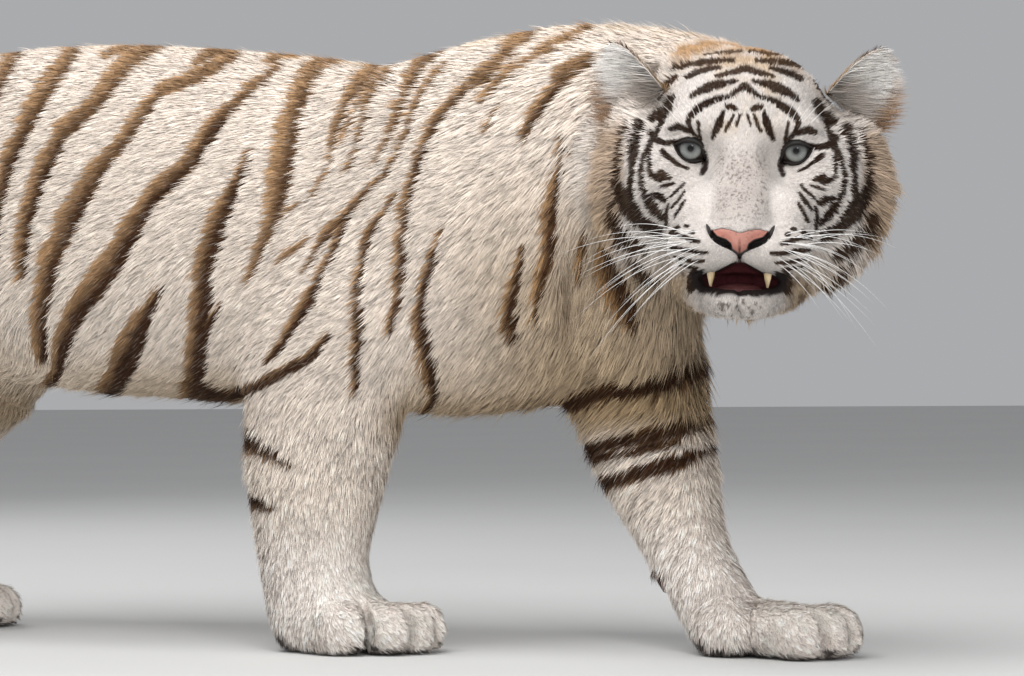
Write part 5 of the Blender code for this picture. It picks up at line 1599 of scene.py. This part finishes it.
def build_whiskers():
    """Long stiff hairs from the rows of the muzzle, and a few over the eyes."""
    rng = np.random.default_rng(21)
    points, faces = [], []

    def add(side, out, up, way, length, sag, thick):
        t = np.linspace(0, 1, 15)[:, None]
        line = at_front(side, out, up) + unit(np.array(way)) * length * t + np.array(sag) * length * t * t
        more, quads = tube(line, thick * (1 - 0.93 * t[:, 0] ** 1.4), 4)
        faces.extend(tuple(k + len(points) for k in quad) for quad in quads)
        points.extend(more)

    for side in SIDES:
        for k in range(WHISKERS_ON_A_SIDE):
            row = k % 5
            along = (k // 5 + 0.7 * rng.random()) / 5.5
            out = 0.040 + 0.036 * along
            up = -0.0935 - 0.0075 * row - 0.004 * along + 0.0015 * rng.standard_normal()
            fan = 0.25 - 0.22 * row + 0.16 * rng.standard_normal()
            way = (0.10 + 0.20 * rng.random() - 0.35 * along, side, fan)
            sag = (-0.22 - 0.10 * rng.random(), 0.0, -0.24 - 0.16 * rng.random())
            length = (0.068 + 0.062 * along) * (0.75 + 0.45 * rng.random()) * (0.82 if side > 0 else 1.0)
            add(side, out, up, way, length, sag, 0.00034 + 0.00012 * rng.random())
        for k in range(BROW_HAIRS_ON_A_SIDE):
            way = (0.35, side * (0.25 + 0.12 * k), 0.85)
            add(side, 0.046 + 0.007 * k, 0.034 + 0.002 * (k % 2), way, 0.038 + 0.010 * rng.random(),
                (-0.35, side * 0.1, -0.1), 0.00026)
    return mesh_from("whiskers", points, faces)


# ---------------------------------------------------------------- the model
skin = build_skin()
# The skin takes the coat's colours, painted 8 % darker as shade in the gaps between the tufts.
set_colours(skin.data, coat_colour(points_of(skin.data) - SHIFT)[0] * 0.92)
coat = build_coat()
eyes = [build_eye(side) for side in SIDES]
rims = build_lid_rims()
nose = build_nose()
whiskers = build_whiskers()
set_material(skin, surface("short_fur", None, (500.0, 0.88, 1.06, 3.0), ((700.0, 0.0, 1.0, 3.0), 0.0008),
                           Roughness=0.85, Specular_IOR_Level=0.12))
set_material(nose, surface("moist_leather", None, (1500.0, 0.96, 1.04), ((1500.0, 0.0, 1.0), 0.0005),
                           Roughness=0.42, Specular_IOR_Level=0.5, Coat_Weight=0.25, Coat_Roughness=0.03))
set_material(rims, wet("lid_rim", (0.010, 0.007, 0.006), 1200.0, 0.0002, Roughness=0.6, Coat_Weight=0.0))
set_material(whiskers, new_material("whisker", Base_Color=(0.86, 0.85, 0.83, 1), Roughness=0.35)[0])
fur = surface("white_fur", None, (900.0, 0.90, 1.08), Roughness=0.75, Specular_IOR_Level=0.10)
wet_eye = surface("wet_eye", None, (900.0, 0.96, 1.04), Roughness=0.30, Specular_IOR_Level=0.1,
                  Coat_Weight=0.60, Coat_Roughness=0.03)
for things, material in ((coat, fur), (eyes, wet_eye)):
    for thing in things:
        set_material(thing, material)
tongue = wet("moist_tongue", (0.185, 0.062, 0.060), 1400.0, 0.0006, Roughness=0.4, Coat_Weight=0.4)
enamel = wet("enamel", (0.66, 0.50, 0.29), 300.0, 0.0001, Roughness=0.22, Coat_Weight=0.6)
for name, material in (("tongue", tongue), ("canine_upper_left", enamel), ("canine_upper_right", enamel)):
    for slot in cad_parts[name].material_slots:
        slot.material = material

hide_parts(*FLESH, "ear_left", "ear_right")
for eye, name in zip(eyes, ("eye_right", "eye_left")):
    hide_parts(name)
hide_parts("nose")
for thing in (skin, *coat, *eyes, rims, nose, whiskers):
    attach(thing, "root")


# ---------------------------------------------------------------- floor, light and camera
# Each light: place, watts, size, and whether it shows in what is glossy.
LIGHTS = {"sky": ((0.2, -1.2, 3.1), 108.0, 2.4, False), "front": ((2.2, -3.2, 1.1), 64.0, 3.0, False),
          "glint": ((2.94, -3.22, 2.00), 16.0, 0.42, True), "rear": ((-2.4, 1.8, 2.4), 34.0, 1.8, True)}
LIGHTS_AIM = (0.1, 0.0, 0.4)
FLOOR_REACH = 14.0
CAMERA_PLACE = (2.0493, -4.0677, 0.3692)
CAMERA_WAY = (-0.4226, 0.9063, 0)
CAMERA_ROLL = -0.75
CAMERA_LENS = 132.29
CAMERA_FILM = 36.0


def build_stage():
    corners = [(x * FLOOR_REACH, y * FLOOR_REACH, 0) for x, y in ((-1, -1), (1, -1), (1, 1), (-1, 1))]
    floor = new_object("floor", mesh_of("floor", corners, [(0, 1, 2, 3)]))
    pale = surface("pale_floor", (0.58, 0.58, 0.57), (1.5, 0.97, 1.0), Roughness=0.9)
    set_material(floor, pale, smooth=False)
    world = bpy.data.worlds.new("studio")
    world.use_nodes = True
    world.node_tree.nodes["Background"].inputs["Color"].default_value = (0.96, 0.97, 1.0, 1)
    world.node_tree.nodes["Background"].inputs["Strength"].default_value = 0.42
    bpy.context.scene.world = world
    bpy.context.scene.view_settings.view_transform = "Standard"
    for name, (place, watts, size, glossy) in LIGHTS.items():
        light = bpy.data.lights.new(name, "AREA")
        light.energy = watts
        light.size = size
        holder = new_object(name, light)
        holder.location = place
        holder.visible_glossy = glossy
        holder.rotation_euler = (Vector(LIGHTS_AIM) - Vector(place)).to_track_quat("-Z", "Y").to_euler()


def build_camera():
    """The viewer stands to the right of the animal's front, low down and far off."""
    view = Vector(CAMERA_WAY).normalized()
    right = view.cross(Vector((0, 0, 1)))
    camera = bpy.data.cameras.new("viewer")
    camera.lens = CAMERA_LENS
    camera.sensor_width = CAMERA_FILM
    camera.sensor_fit = "HORIZONTAL"
    camera.clip_end = 100
    holder = new_object("viewer", camera)
    turned = Matrix((right, right.cross(view), -view)).transposed().to_4x4()
    holder.matrix_world = (Matrix.Translation(Vector(CAMERA_PLACE) + Vector(SHIFT)) @ turned
                           @ Matrix.Rotation(math.radians(CAMERA_ROLL), 4, "Z"))
    bpy.context.scene.camera = holder


build_stage()
build_camera()
